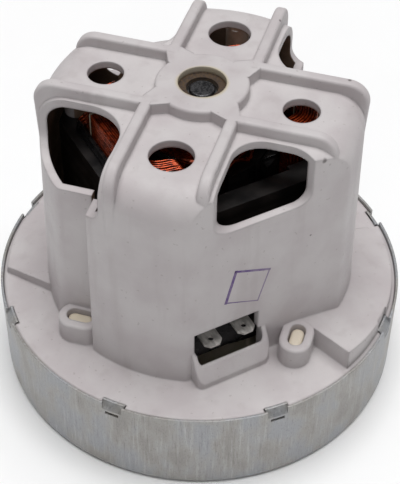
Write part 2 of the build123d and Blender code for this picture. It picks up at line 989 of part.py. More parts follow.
# Bearings
def bearing_parts(bottom):
    """Outer ring, inner ring, cage and balls of a ball bearing."""
    middle = bottom + bearing_width / 2
    track = (outer_race_inner_radius + inner_race_outer_radius) / 2
    groove = Pos(0, 0, middle) * Torus(track, ball_radius + running_gap)
    top = bottom + bearing_width
    outer = tube(bearing_radius - press_gap, outer_race_inner_radius, bottom, top) - groove
    inner = tube(inner_race_outer_radius, shaft_radius + press_gap, bottom, top) - groove
    half = cage_height / 2
    cage = tube(track + cage_thickness / 2, track - cage_thickness / 2, middle - half, middle + half)
    pocket = Rot(0, quarter, 0) * Cylinder(ball_radius + running_gap, 4 * cage_thickness)
    for cut in ring_of(ball_count, 0, Pos(track, 0, middle) * pocket):
        cage -= cut
    balls = group(ring_of(ball_count, 0, Pos(track, 0, middle) * Sphere(ball_radius)))
    return {"outer_ring": outer, "inner_ring": inner, "cage": cage, "balls": balls}


def felt_washer():
    return tube(bearing_radius - press_gap, felt_bore, top_bearing_top + press_gap, boss_underside)


# Rotor
def shaft():
    rod = disc(shaft_radius, shaft_bottom, shaft_top)
    rod = chamfer(rod.edges().filter_by(GeomType.CIRCLE), shaft_chamfer)
    return rod + disc(shaft_core_radius, commutator_top, top_bearing_bottom)


def rotor_spacer():
    return tube(spacer_radius, shaft_radius + press_gap, low_bearing_top, commutator_bottom)


def armature_core():
    core = tube(armature_radius, shaft_core_radius + press_gap, stack_bottom, stack_top)
    low = stack_bottom - overrun
    high = stack_top + overrun
    mouth = block(slot_floor, far, -slot_mouth / 2, slot_mouth / 2, low, high)
    hollow = mouth + disc(slot_round_radius, low, high, slot_round_offset)
    for cut in ring_of(armature_slots, 0, hollow):
        core -= cut
    return core


def armature_windings():
    """Copper in the slots and the round heads at both ends."""
    top = stack_top + end_winding_length
    bottom = stack_bottom - end_winding_length
    ends = []
    for low, high in ((stack_top + slot_liner, top), (bottom, stack_bottom - slot_liner)):
        ends.append(
            turned(
                [(end_winding_inner, low), (end_winding_radius, low), (end_winding_radius, high),
                 (end_winding_inner, high)],
                [0, end_winding_round, end_winding_round, 0],
            )
        )
    copper = ends[0] + ends[1]
    low = stack_bottom - overrun
    high = stack_top + overrun
    bar = disc(slot_round_radius - slot_liner, low, high, slot_round_offset)
    for piece in ring_of(armature_slots, 0, bar):
        copper += piece
    return copper


def commutator_hub():
    outer = commutator_radius - bar_depth
    return tube(outer, shaft_radius + press_gap, commutator_bottom, commutator_top)


def commutator_segments():
    inner = commutator_radius - bar_depth
    gap_angle = math.degrees(bar_gap / commutator_radius)
    sweep_angle = full_turn / commutator_bars - gap_angle
    bar = sector(inner, commutator_radius, sweep_angle, commutator_bottom, commutator_top)
    bar += sector(inner, riser_radius, sweep_angle, commutator_top - riser_height, commutator_top)
    return group(ring_of(commutator_bars, 0, bar))


# Fan
def impeller_sleeve():
    return tube(sleeve_radius, shaft_radius + press_gap, back_plate_top, low_bearing_bottom)


def impeller_back_plate():
    return tube(fan_radius, shaft_radius + press_gap, back_plate_bottom, back_plate_top)


def impeller_front_plate():
    edge = eye_radius + plate_thickness
    return turned(
        [
            (eye_radius, front_plate_eye_height - collar_height),
            (edge, front_plate_eye_height - collar_height),
            (edge, front_plate_eye_height),
            (fan_radius, front_plate_rim_height),
            (fan_radius, front_plate_rim_height + plate_thickness),
            (eye_radius, front_plate_eye_height + plate_thickness),
        ],
        [0, 0, 0, 0, 0, 0],
    )


def curved_vane(inner, outer, lean, thickness, bottom, top):
    """A vane leaning back from an inner to an outer radius."""
    lean_shares = ((0, 0), (1 / 2, 1 / 3), (1, 1))
    points = []
    for share, lean_share in lean_shares:
        radius = inner + share * (outer - inner)
        angle = math.radians(-lean * lean_share)
        points.append((radius * math.cos(angle), radius * math.sin(angle)))
    face = trace(ThreePointArc(*points), line_width=thickness)
    return Pos(0, 0, bottom) * extrude(face, amount=top - bottom, dir=(0, 0, 1))


def impeller_vanes():
    vane = curved_vane(vane_inner_radius, fan_radius - vane_outer_inset, vane_lean, vane_thickness,
                       front_plate_eye_height, back_plate_bottom)
    flow = turned(
        [
            (eye_radius, front_plate_eye_height + plate_thickness),
            (fan_radius, front_plate_rim_height + plate_thickness),
            (fan_radius, back_plate_bottom),
            (eye_radius, back_plate_bottom),
        ],
        [0, 0, 0, 0],
    )
    return group(ring_of(vane_count, 0, vane & flow))


def impeller_clamp_washer():
    return tube(clamp_radius, shaft_radius + press_gap, clamp_bottom, back_plate_bottom)


def impeller_nut():
    corner = nut_across / 2 / math.cos(math.radians(quarter / 3))
    nut = Pos(0, 0, nut_bottom) * extrude(RegularPolygon(corner, 6), amount=nut_height)
    return nut - disc(shaft_radius + press_gap, nut_bottom - overrun, clamp_bottom + overrun)


# Diffuser
def diffuser():
    plate = tube(diffuser_flow_radius, diffuser_bore, diffuser_bottom, diffuser_top)
    ring_outer = can_radius - sheet - diffuser_ring_gap
    ring_inner = ring_outer - diffuser_ring
    plate += tube(ring_outer, ring_inner, diffuser_bottom, diffuser_vane_top)
    vane = curved_vane(diffuser_vane_inner, ring_inner + diffuser_ring / 2, diffuser_vane_lean,
                       diffuser_vane_thickness, diffuser_top - diffuser_plate / 2, diffuser_vane_top)
    for piece in ring_of(diffuser_vane_count, 0, vane):
        plate += piece
    hook = extrude(well_outline(-hook_gap), amount=well_top - hook_sink - diffuser_top + overrun)
    hook = fillet(hook.faces().sort_by(Axis.Z)[-1].edges(), hook_round)
    hook = Pos(0, 0, diffuser_top - overrun) * hook
    for index in range(arm_count):
        plate += turn(hook, arm_angle - quarter * index)
    return plate


# Bearing bridge
def bearing_bridge():
    plate = disc(bridge_radius, bridge_bottom, bridge_top)
    low = bridge_bottom - overrun
    high = bridge_top + overrun
    opening = sector(bridge_window_inner, bridge_window_outer, bridge_window_sweep, low, high)
    for cut in ring_of(arm_count, arm_angle, opening):
        plate -= cut
    for x, y in bridge_places():
        reach = math.hypot(x, y)
        angle = math.degrees(math.atan2(y, x))
        lug = disc(bridge_lug_radius, bridge_bottom, bridge_top, reach)
        half = bridge_lug_radius
        lug += block(bridge_window_outer, reach, -half, half, bridge_bottom, bridge_top)
        plate += turn(lug, angle)
    plate &= body_form(wall + contact_gap, low, high)
    plate += disc(bridge_hub_radius, low_bearing_bottom - bridge_lip, bridge_top)
    plate -= disc(bearing_radius, low_bearing_bottom, high)
    plate -= disc(bridge_lip_bore, low_bearing_bottom - bridge_lip - overrun, bridge_top)
    for x, y in bridge_places():
        plate -= disc(bridge_screw_radius + screw_gap, low, high, x, y)
    for x, y in holder_screw_places():
        plate -= disc(holder_screw_radius + screw_gap, low, high, x, y)
    return plate


def bridge_screws():
    length = bridge_plate + screw_bite - screw_tip_gap
    one = screw(bridge_screw_radius - running_gap, bridge_head_radius, bridge_head_height, length)
    return group([Pos(x, y, bridge_bottom) * one for x, y in bridge_places()])


# Brush gear, drawn on the +X side
def holder_screw_places():
    """Where the brush holders are screwed to the bridge."""
    places = []
    for x in (-holder_screw_x, holder_screw_x):
        for y in (-holder_screw_y, holder_screw_y):
            places.append((x, y))
    return places


def brush_space(grow, x_from, x_to):
    """A box round the line of the brush."""
    half_y = brush_width / 2 + grow
    low = brush_axis_height - brush_height / 2 - grow
    high = brush_axis_height + brush_height / 2 + grow
    return block(x_from, x_to, -half_y, half_y, low, high)


def carbon_brush():
    brush = brush_space(0, 0, brush_back)
    brush = chamfer(brush.edges().filter_by(Axis.X), brush_edge)
    return brush - disc(brush_tip, 0, far)


def brush_box():
    box = brush_space(seat_gap + box_wall, box_inner_end, box_outer_end)
    box -= brush_space(seat_gap, box_inner_end - overrun, box_outer_end - box_wall)
    side = brush_width / 2 + seat_gap
    low = brush_axis_height - tag_thickness / 2
    return box + block(tag_from, tag_from + tag_width, side, tag_reach, low, low + tag_thickness)


def brush_holder():
    outside = box_wall + 2 * seat_gap
    half_y = brush_width / 2 + outside + holder_wall
    top = brush_axis_height + brush_height / 2 + outside + holder_roof
    foot_top = bridge_top + holder_foot
    body = block(holder_inner_end, holder_outer_end, -half_y, half_y, bridge_top, top)
    half_y = holder_foot_half
    body += block(holder_inner_end, holder_outer_end, -half_y, half_y, bridge_top, foot_top)
    body = chamfer(body.edges().filter_by(Axis.X), holder_edge)
    body -= brush_space(outside, holder_inner_end - overrun, holder_outer_end + overrun)
    for y in (-holder_screw_y, holder_screw_y):
        body -= disc(holder_screw_radius, bridge_top - overrun, foot_top + overrun, holder_screw_x, y)
    return body


def holder_screws():
    length = bridge_plate + holder_foot - screw_tip_gap
    one = screw(holder_screw_radius - running_gap, holder_head_radius, bridge_head_height, length)
    return group([Pos(x, y, bridge_bottom) * one for x, y in holder_screw_places()])


def helix_point(angle, start, length):
    """A point on the middle line of the spring wire."""
    share = angle / (full_turn * spring_turns)
    turned_angle = math.radians(angle)
    y = spring_radius * math.cos(turned_angle)
    z = spring_radius * math.sin(turned_angle)
    return Vector(start + share * length, y, brush_axis_height + z)


def brush_spring():
    """The spring as one wire, in quarter-turn arcs that follow its helix."""
    start = brush_back + spring_wire_radius + running_gap
    length = box_outer_end - box_wall - spring_wire_radius - running_gap - start
    edges = []
    for index in range(2 * 2 * spring_turns):
        places = [helix_point(quarter * (index + share), start, length) for share in (0, 1 / 2, 1)]
        edges.append(ThreePointArc(*places))
    path = Wire(edges)
    section = Plane(origin=path @ 0, z_dir=path % 0) * Circle(spring_wire_radius)
    return sweep(section, path=path)


# Terminals
def terminal_tab(x):
    half = tab_width / 2
    tip = -tab_tip
    face = outline(
        [
            (x - half, -tab_inner_end, 0),
            (x - half, tip + tab_chamfer, 0),
            (x - half + tab_chamfer, tip, 0),
            (x + half - tab_chamfer, tip, 0),
            (x + half, tip + tab_chamfer, 0),
            (x + half, -tab_inner_end, 0),
        ],
        [0, 0, 0, 0, 0, 0],
    )
    low = tab_height - tab_thickness / 2
    blade = Pos(0, 0, low) * extrude(face, amount=tab_thickness, dir=(0, 0, 1))
    hole = disc(tab_hole_radius, low - overrun, low + tab_thickness + overrun, x, tip + tab_hole_inset)
    return blade - hole


def terminal_block():
    body = block(block_left, block_right, -block_front, -block_back, block_bottom, block_top)
    body = chamfer(body.edges().filter_by(Axis.Y), block_round)
    half = tab_thickness / 2 + press_gap
    for x in (tab_left_x, tab_right_x):
        side = tab_width / 2 + press_gap
        body -= block(x - side, x + side, -far, 0, tab_height - half, tab_height + half)
    return body


# Leads
def lead(points):
    """A lead with arcs as large as its runs allow."""
    corners = [Vector(*point) for point in points]
    radii = [0]
    for index in range(1, len(corners) - 1):
        back = corners[index - 1] - corners[index]
        ahead = corners[index + 1] - corners[index]
        bend = math.radians(half_turn - back.get_angle(ahead))
        radii.append(lead_share * min(back.length, ahead.length) / math.tan(bend / 2))
    radii.append(0)
    print("lead radii", [round(radius, 1) for radius in radii[1:-1]])
    return pipe(points, radii, lead_radius)


def leads():
    """Four leads: terminals to coils, and coils to brush boxes."""
    coil_bottom = coil_middle - coil_half_z - coil_reach - coil_tail
    start_y = coil_place(0)[1]
    end_x = coil_first_layer + coil_sides // coil_climb_every * wire_pitch
    end_y = coil_place(coil_sides - 1)[1]
    tag_x = tag_from + tag_width / 2
    in_left = [
        (tab_left_x, -tab_inner_end, tab_height),
        (tab_left_x, -21.8, tab_height),
        (-19.0, -19.4, 40.2),
        (-23.4, -20.6, 37.2),
        (-coil_first_layer, start_y, 39.6),
        (-coil_first_layer, start_y, coil_bottom),
    ]
    in_right = [
        (tab_right_x, -tab_inner_end, tab_height),
        (tab_right_x, -21.4, tab_height),
        (-0.6, -19.2, 39.6),
        (9.0, -20.4, 37.4),
        (18.6, -22.0, 37.0),
        (coil_first_layer, start_y, 39.4),
        (coil_first_layer, start_y, coil_bottom),
    ]
    out_side = [
        (end_x, end_y, coil_bottom),
        (end_x, end_y, 39.6),
        (end_x + 1.6, 18.6, 37.4),
        (tag_x, 13.4, brush_axis_height),
        (tag_x, tag_reach, brush_axis_height),
    ]
    return {
        "lead_terminal_left": lead(in_left),
        "lead_terminal_right": lead(in_right),
        "lead_brush_right": lead(out_side),
        "lead_brush_left": lead([(-x, y, z) for x, y, z in out_side]),
    }


def both_sides(name, shape):
    """A piece on the +X side and its mirror image on the -X side."""
    return {name + "_right": shape, name + "_left": mirror(shape, Plane.YZ)}


def all_nodes():
    nodes = {
        "motor_housing": motor_housing(),
        "fan_cover": fan_cover(),
        "diffuser": diffuser(),
        "bearing_bridge": bearing_bridge(),
        "bridge_screws": bridge_screws(),
        "stator_core": stator_core(),
        "stator_screws": stator_screws(),
        "upper_coil_frame": coil_frame(True),
        "lower_coil_frame": coil_frame(False),
        "terminal_block": terminal_block(),
        "terminal_tab_left": terminal_tab(tab_left_x),
        "terminal_tab_right": terminal_tab(tab_right_x),
        "felt_washer": felt_washer(),
        "holder_screws": holder_screws(),
        "shaft": shaft(),
        "rotor_spacer": rotor_spacer(),
        "armature_core": armature_core(),
        "armature_windings": armature_windings(),
        "commutator_hub": commutator_hub(),
        "commutator_segments": commutator_segments(),
        "impeller_sleeve": impeller_sleeve(),
        "impeller_back_plate": impeller_back_plate(),
        "impeller_front_plate": impeller_front_plate(),
        "impeller_vanes": impeller_vanes(),
        "impeller_clamp_washer": impeller_clamp_washer(),
        "impeller_nut": impeller_nut(),
    }
    nodes.update(both_sides("field_coil", field_coil()))
    nodes.update(both_sides("carbon_brush", carbon_brush()))
    nodes.update(both_sides("brush_box", brush_box()))
    nodes.update(both_sides("brush_holder", brush_holder()))
    nodes.update(both_sides("brush_spring", brush_spring()))
    for place, bottom in (("top", top_bearing_bottom), ("low", low_bearing_bottom)):
        for piece, shape in bearing_parts(bottom).items():
            nodes[place + "_bearing_" + piece] = shape
    nodes.update(leads())
    return nodes


def main():
    os.makedirs("parts", exist_ok=True)
    for name, shape in all_nodes().items():
        export_step(shape, "parts/" + name + ".step")


if __name__ == "__main__":
    main()
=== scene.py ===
import math
import random

import bmesh
import bpy
from mathutils import Matrix, Vector


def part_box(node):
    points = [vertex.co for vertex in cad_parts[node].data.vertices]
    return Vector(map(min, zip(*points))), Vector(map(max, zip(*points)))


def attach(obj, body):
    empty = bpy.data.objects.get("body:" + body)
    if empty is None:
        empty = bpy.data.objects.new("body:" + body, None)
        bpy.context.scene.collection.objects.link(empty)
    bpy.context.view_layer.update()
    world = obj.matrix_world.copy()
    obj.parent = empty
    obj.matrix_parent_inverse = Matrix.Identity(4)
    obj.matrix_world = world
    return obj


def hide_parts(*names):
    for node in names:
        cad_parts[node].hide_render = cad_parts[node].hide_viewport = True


bl_info = {
    "name": "Vacuum motor unit",
    "version": (1, 0, 0),
    "blender": (4, 5, 0),
    "location": "3D View > Sidebar > Motor",
    "description": "Dresses a vacuum motor unit: finishes, windings, lacing, ink mark and a studio",
    "category": "Object",
}

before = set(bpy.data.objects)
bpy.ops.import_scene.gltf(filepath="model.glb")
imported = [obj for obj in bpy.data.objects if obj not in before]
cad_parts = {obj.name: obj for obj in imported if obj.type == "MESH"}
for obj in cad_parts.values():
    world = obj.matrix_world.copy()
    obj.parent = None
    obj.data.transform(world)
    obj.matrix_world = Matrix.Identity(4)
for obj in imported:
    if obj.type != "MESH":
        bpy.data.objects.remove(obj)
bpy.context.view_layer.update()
MM = 0.001
FULL_TURN = 2 * math.pi
FRAME_BODY = "frame"
ROTOR_BODY = "rotor"

# Sizes of the CAD housing that its finish follows
BODY_RADIUS = 51.3 * MM
BODY_DRAFT = 0.021
FLAT_OFFSET = 43.0 * MM
FLAT_LEAN = math.tan(math.radians(0.6))
FLANGE_TOP = 31.5 * MM
WALL = 2.6 * MM
ROOF_UNDERSIDE = 104.1 * MM
SHOULDER_START = 97.2 * MM
SHOULDER_CURVE = 0.07 / MM

# Space for the field windings, on the +X side
CAD_WIRE = 0.95 * MM
FRAME_PLATE = 1.5 * MM
SLOT_INNER_X = 17.6 * MM
SLOT_OUTER_X = 30.6 * MM
SLOT_OUTER_Y = 24.3 * MM
NECK_Y = 15.8 * MM
HORN_RADIUS = 25.4 * MM
HEAD_INNER_X = 26.6 * MM
HEAD_OUTER_X = 31.5 * MM
HEAD_INNER_Y = 16.5 * MM
HEAD_OUTER_Y = 23.4 * MM
HEAD_CORNER = 6.5 * MM
HEAD_RISE = 9.9 * MM

# Each field coil: its side, its CAD node and the seed of its winding
FIELD_COILS = ((1, "field_coil_right", 7), (-1, "field_coil_left", 11))
# Its turns, and how many layers of them are made, counted from the outside
FIELD_ROWS = 12
FIELD_COLUMNS = 8
SEEN_DEPTH = 2
# The cord round its upper head: where it is tied, and how far down it reaches
LACING_Y = (-12 * MM, 12 * MM)
LACING_DEPTH = 9.2 * MM

# Armature winding: its slots, and the strands that fill each of them
ARMATURE_SLOTS = 11
SLOT_RADIUS = 15.4 * MM
SLOT_STRANDS_RING = 6
SLOT_STRANDS_REACH = 1.7 * MM
# Long and short arches over its heads: slots that they span, and strands from each slot
LONG_SPAN, LONG_STRANDS = 4, 14
SHORT_SPAN, SHORT_STRANDS, SHORT_RISE = 3, 8, 0.6
HEAD_STEPS = 12
# The filling ring under them: how far it passes the slots, its edge and its share of the head
RING_OVERLAP = 1.4 * MM
RING_ROUNDING = 1.6 * MM
RING_SHARE = 0.55

# The stamped frame on the front face: its corners in mm, the share of the full line width
# that each side has, and how far the ink stands out
INK_CORNERS_MM = ((-14.4, 60.7), (-11.2, 72.7), (0.6, 68.4), (-3.1, 56.4), (-14.4, 60.7))
INK_SHARES = (1.0, 0.85, 0.45, 0.4)
INK_DEPTH = 0.03 * MM

# Each lamp: its name, where its light comes from, its strength and its spread in degrees
LAMPS = (
    ("top_softbox", (0.06, 0.02, 1.0), 2.95, 50.0),
    # A weak light from the front left reaches into the windows
    ("front_fill", (-0.42, -0.62, 0.66), 0.25, 24.0),
)
SKY_STRENGTH = 0.15
FLOOR_RADIUS = 3.0
SENSOR_WIDTH = 36.0

# Small dark knocks on the housing: place and radius, in mm
KNOCKS_MM = (
    ((-41.9, 23.7, 102.7), 0.7),
    ((39.6, -20.0, 110.4), 0.8),
    ((17.2, -42.0, 104.6), 1.1),
    ((37.0, 16.2, 110.4), 0.7),
    ((14.6, -42.5, 76.2), 0.5),
)

# The finishes, each with the CAD pieces that have it
FINISHES = {
    "thermoset_moulding": ("motor_housing",),
    "galvanised_sheet": ("fan_cover",),
    "nylon_moulding": ("diffuser",),
    "black_phenolic": (
        "bearing_bridge", "upper_coil_frame", "lower_coil_frame", "terminal_block", "rotor_spacer",
        "commutator_hub", "brush_holder_right", "brush_holder_left",
    ),
    "stamped_lamination": ("stator_core", "armature_core"),
    "drawn_copper": ("commutator_segments",),
    "tinned_brass": ("terminal_tab_left", "terminal_tab_right"),
    "rolled_brass": ("brush_box_right", "brush_box_left", "top_bearing_cage", "low_bearing_cage"),
    "ground_bearing_steel": (
        "top_bearing_outer_ring", "top_bearing_inner_ring", "top_bearing_balls",
        "low_bearing_outer_ring", "low_bearing_inner_ring", "low_bearing_balls",
    ),
    "turned_steel": ("shaft",),
    "zinc_plate": (
        "bridge_screws", "stator_screws", "holder_screws", "impeller_clamp_washer", "impeller_nut",
    ),
    "vulcanised_fibre": ("felt_washer",),
    "pressed_aluminium": (
        "impeller_sleeve", "impeller_back_plate", "impeller_front_plate", "impeller_vanes",
    ),
    "pressed_carbon": ("carbon_brush_right", "carbon_brush_left"),
    "spring_wire": ("brush_spring_right", "brush_spring_left"),
    "woven_sleeve": (
        "lead_terminal_left", "lead_terminal_right", "lead_brush_right", "lead_brush_left",
    ),
}

# Plain metals: darker and lighter tone, grain in mm, its stretch, roughness, relief in mm,
# and where they differ from the rest, the edge radius in mm and the share of metal
METALS = {
    # Copper bars, turned bright and browned by the brushes
    "drawn_copper": ("#8a4a2a", "#c07a4e", 0.4, (1, 1, 0.2), 0.3, 0.01),
    # Brass blades under dull tin
    "tinned_brass": ("#a29e9a", "#c9c5c0", 0.8, (1, 0.3, 1), 0.5, 0.01, 0.15, 0.45),
    # Rolled brass strip with faint roll lines
    "rolled_brass": ("#a5884a", "#c9ab68", 0.5, (0.2, 1, 1), 0.32, 0.01),
    # Ground and polished bearing steel
    "ground_bearing_steel": ("#aeb0b2", "#cfd1d2", 0.2, (1, 1, 0.5), 0.16, 0.004),
    # Turned and ground steel, dulled to a dark grey
    "turned_steel": ("#39393b", "#6a696b", 0.5, (1, 1, 3), 0.36, 0.01, 0.4),
    # Bright zinc plate with a bluish passivation
    "zinc_plate": ("#9aa0a6", "#c2c6c9", 0.6, (1, 1, 1), 0.33, 0.01),
    # Pressed aluminium sheet with fine rolling marks
    "pressed_aluminium": ("#b4b6b8", "#d6d8d9", 0.5, (0.2, 1, 1), 0.34, 0.012),
    # Hardened spring wire, blued by heat
    "spring_wire": ("#5f6470", "#8a8f98", 0.4, (1, 1, 1), 0.28, 0.005),
}

# Dull materials: darker and lighter tone, grain in mm, roughness and relief in mm
DULL = {
    # Red-brown fibre sheet, cut with a fuzzy edge
    "vulcanised_fibre": ("#30221a", "#4c3820", 0.7, 0.6, 0.04),
    # Pressed carbon and graphite, grey and dusty
    "pressed_carbon": ("#1c1b1c", "#333133", 0.4, 0.55, 0.03),
}


class MotorColours(bpy.types.PropertyGroup):
    """Colours that a user would change, as sRGB hex values"""

    housing: bpy.props.StringProperty(
        name="Housing", description="Off-white of the moulded housing", default="#c4bfbf")
    housing_shade: bpy.props.StringProperty(
        name="Housing mottling", description="Second tone of the moulded housing", default="#bab3b4")
    heat_tint: bpy.props.StringProperty(
        name="Heat tint", description="Yellowing round the shaft hole", default="#bfb187")
    dust: bpy.props.StringProperty(
        name="Brush dust", description="Brown film inside the housing", default="#9c8474")
    dust_dark: bpy.props.StringProperty(
        name="Brush dust, thick", description="Thicker film in patches", default="#75604f")
    zinc: bpy.props.StringProperty(
        name="Zinc", description="Grey of the galvanised can", default="#a5a4a4")
    zinc_warm: bpy.props.StringProperty(
        name="Zinc, warm", description="Yellowish streaks on the can", default="#a8a49d")
    zinc_cool: bpy.props.StringProperty(
        name="Zinc, cool", description="Bluish streaks on the can", default="#9ea1a6")
    diffuser: bpy.props.StringProperty(
        name="Diffuser", description="Cream of the diffuser and its hooks", default="#d8cdbb")
    black: bpy.props.StringProperty(
        name="Black moulding", description="Black of the insulating parts", default="#0d0d0e")
    enamel: bpy.props.StringProperty(
        name="Enamelled copper", description="Colour of the varnished wire", default="#bd5a24")
    enamel_dark: bpy.props.StringProperty(
        name="Enamelled copper, dark", description="Wire deep in the winding", default="#662a0f")
    ink: bpy.props.StringProperty(
        name="Ink", description="Colour of the stamped mark", default="#5a3f7d")
    ink_thin: bpy.props.StringProperty(
        name="Ink, thin", description="Ink where the stamp was hardly pressed", default="#8b7d96")


class MotorSizes(bpy.types.PropertyGroup):
    """Sizes of the pieces that are made here"""

    field_wire: bpy.props.FloatProperty(
        name="Field wire", description="Diameter of the field winding's wire",
        default=0.7 * MM, unit="LENGTH", precision=5)
    armature_wire: bpy.props.FloatProperty(
        name="Armature wire", description="Diameter of the armature winding's wire",
        default=0.7 * MM, unit="LENGTH", precision=5)
    lacing: bpy.props.FloatProperty(
        name="Lacing cord", description="Thickness of the lacing cord round the field coils",
        default=0.28 * MM, unit="LENGTH", precision=5)
    ink_line: bpy.props.FloatProperty(
        name="Ink line", description="Width of the stamped line",
        default=1.0 * MM, unit="LENGTH", precision=5)


class MotorStudio(bpy.types.PropertyGroup):
    """Camera placement and lens"""

    camera_reach: bpy.props.FloatProperty(
        name="Camera reach", description="Level distance from the shaft axis to the camera",
        default=313.0 * MM, unit="LENGTH")
    camera_height: bpy.props.FloatProperty(
        name="Camera height", description="Height of the camera over the can's underside",
        default=354.0 * MM, unit="LENGTH")
    camera_turn: bpy.props.FloatProperty(
        name="Camera turn", description="Where the camera stands round the shaft axis",
        default=math.radians(-29.0), unit="ROTATION")
    camera_pitch: bpy.props.FloatProperty(
        name="Camera pitch", description="How far the camera looks down",
        default=math.radians(44.85), unit="ROTATION")
    camera_roll: bpy.props.FloatProperty(
        name="Camera roll", description="Lean of the picture",
        default=math.radians(0.82), unit="ROTATION")
    camera_lens: bpy.props.FloatProperty(
        name="Lens", description="Focal length on a 36 mm wide sensor", default=97.67, unit="CAMERA")


# Materials
def linear(code):
    """A linear colour with full opacity, from an sRGB hex value."""
    parts = []
    for start in (1, 3, 5):
        value = int(code[start:start + 2], 16) / 255
        parts.append(value / 12.92 if value <= 0.04045 else ((value + 0.055) / 1.055) ** 2.4)
    return (*parts, 1.0)


def add(tree, kind, inputs=None, **settings):
    """Adds a node with its settings, and sets or links its inputs."""
    node = tree.nodes.new(kind)
    for name, value in settings.items():
        setattr(node, name, value)
    for socket, value in (inputs or {}).items():
        if isinstance(value, bpy.types.NodeSocket):
            tree.links.new(value, node.inputs[socket])
        else:
            node.inputs[socket].default_value = value
    return node


def start_material(name):
    """A new material with its tree, its shader and its object coordinates."""
    material = bpy.data.materials.new(name)
    material.use_nodes = True
    tree = material.node_tree
    shader = tree.nodes["Principled BSDF"]
    place = add(tree, "ShaderNodeTexCoord").outputs["Object"]
    return material, tree, shader, place


def noise(tree, place, grain_mm, stretch=(1, 1, 1), detail=3.0, roughness=0.5):
    """Noise whose grains are about so many millimetres across."""
    size = 1 / (grain_mm * MM)
    scale = tuple(size * share for share in stretch)
    mapped = add(tree, "ShaderNodeMapping", {"Vector": place, "Scale": scale})
    texture = add(tree, "ShaderNodeTexNoise", {
        "Vector": mapped.outputs["Vector"], "Scale": 1.0, "Detail": detail, "Roughness": roughness})
    return texture.outputs["Fac"]


def ramp(tree, value, low, high, out_low=0.0, out_high=1.0):
    """A value spread smoothly from one range to another."""
    node = add(tree, "ShaderNodeMapRange", {
        "Value": value, "From Min": low, "From Max": high, "To Min": out_low, "To Max": out_high},
        interpolation_type="SMOOTHSTEP")
    return node.outputs["Result"]


def blend_colours(tree, share, first, second):
    """Two colours mixed by a share."""
    # The mixer has sockets for each kind of data. Those for colours are 6 and 7, and output 2
    node = add(tree, "ShaderNodeMix", data_type="RGBA", blend_type="MIX")
    for index, value in ((0, share), (6, first), (7, second)):
        if isinstance(value, bpy.types.NodeSocket):
            tree.links.new(value, node.inputs[index])
        else:
            node.inputs[index].default_value = value
    return node.outputs[2]


def wave_scale(step_mm):
    """The scale at which a wave texture repeats after 2 pi such steps."""
    return 1 / (step_mm * MM) / 20


def sums(tree, operation, first, second):
    """One sum of two values."""
    node = add(tree, "ShaderNodeMath", {0: first, 1: second}, operation=operation)
    return node.outputs[0]


def relief(tree, shader, height, depth_mm, soft_edge_mm=0.0):
    """A surface relief, on edges that look rounded where an edge radius is given."""
    inputs = {"Height": height, "Distance": depth_mm * MM, "Strength": 1.0}
    if soft_edge_mm:
        rounded = add(tree, "ShaderNodeBevel", {"Radius": soft_edge_mm * MM}, samples=6)
        inputs["Normal"] = rounded.outputs["Normal"]
    bump = add(tree, "ShaderNodeBump", inputs)
    tree.links.new(bump.outputs["Normal"], shader.inputs["Normal"])


def knock(tree, place, point_mm, radius_mm):
    """How strongly a small knock mark shows, fading from its middle."""
    middle = tuple(value * MM for value in point_mm)
    reach = add(tree, "ShaderNodeVectorMath", {0: place, 1: middle}, operation="DISTANCE")
    return ramp(tree, reach.outputs["Value"], radius_mm * 0.35 * MM, radius_mm * MM, 0.8, 0.0)


def inside_share(tree, place):
    """One on the inner walls and ceiling of the housing, nought outside. Also gives the radius."""
    parts = add(tree, "ShaderNodeSeparateXYZ", {"Vector": place})
    height = parts.outputs["Z"]
    flattened = add(tree, "ShaderNodeVectorMath", {0: place, 1: (1.0, 1.0, 0.0)}, operation="MULTIPLY")
    level = flattened.outputs["Vector"]
    radius = add(tree, "ShaderNodeVectorMath", {0: level}, operation="LENGTH").outputs["Value"]
    # The wall leans in with height, and rounds over into the roof
    over = sums(tree, "MAXIMUM", sums(tree, "SUBTRACT", height, SHOULDER_START), 0.0)
    round_in = sums(tree, "MULTIPLY", sums(tree, "MULTIPLY", over, over), SHOULDER_CURVE)
    fall = sums(tree, "ADD", sums(tree, "MULTIPLY", height, BODY_DRAFT), round_in)
    wall = sums(tree, "ADD", radius, fall)
    limit = BODY_RADIUS + BODY_DRAFT * FLANGE_TOP - WALL
    in_wall = ramp(tree, wall, limit + 0.1 * MM, limit + 0.5 * MM, 1.0, 0.0)
    face = sums(tree, "SUBTRACT", parts.outputs["Y"], sums(tree, "MULTIPLY", height, FLAT_LEAN))
    flat = -FLAT_OFFSET - FLAT_LEAN * FLANGE_TOP + WALL
    in_flat = ramp(tree, face, flat - 0.5 * MM, flat - 0.1 * MM)
    under_roof = ramp(tree, height, ROOF_UNDERSIDE + 0.05 * MM, ROOF_UNDERSIDE + 0.4 * MM, 1.0, 0.0)
    # Only faces that look inward or down hold dust
    facing = add(tree, "ShaderNodeTexCoord").outputs["Normal"]
    toward = add(tree, "ShaderNodeVectorMath", {0: facing, 1: level}, operation="DOT_PRODUCT")
    inward = ramp(tree, toward.outputs["Value"], -4 * MM, -1 * MM, 1.0, 0.0)
    facing_parts = add(tree, "ShaderNodeSeparateXYZ", {"Vector": facing})
    down = ramp(tree, facing_parts.outputs["Z"], -0.7, -0.3, 1.0, 0.0)
    share = sums(tree, "MULTIPLY", sums(tree, "MULTIPLY", in_wall, in_flat), under_roof)
    return sums(tree, "MULTIPLY", share, sums(tree, "MAXIMUM", inward, down)), radius


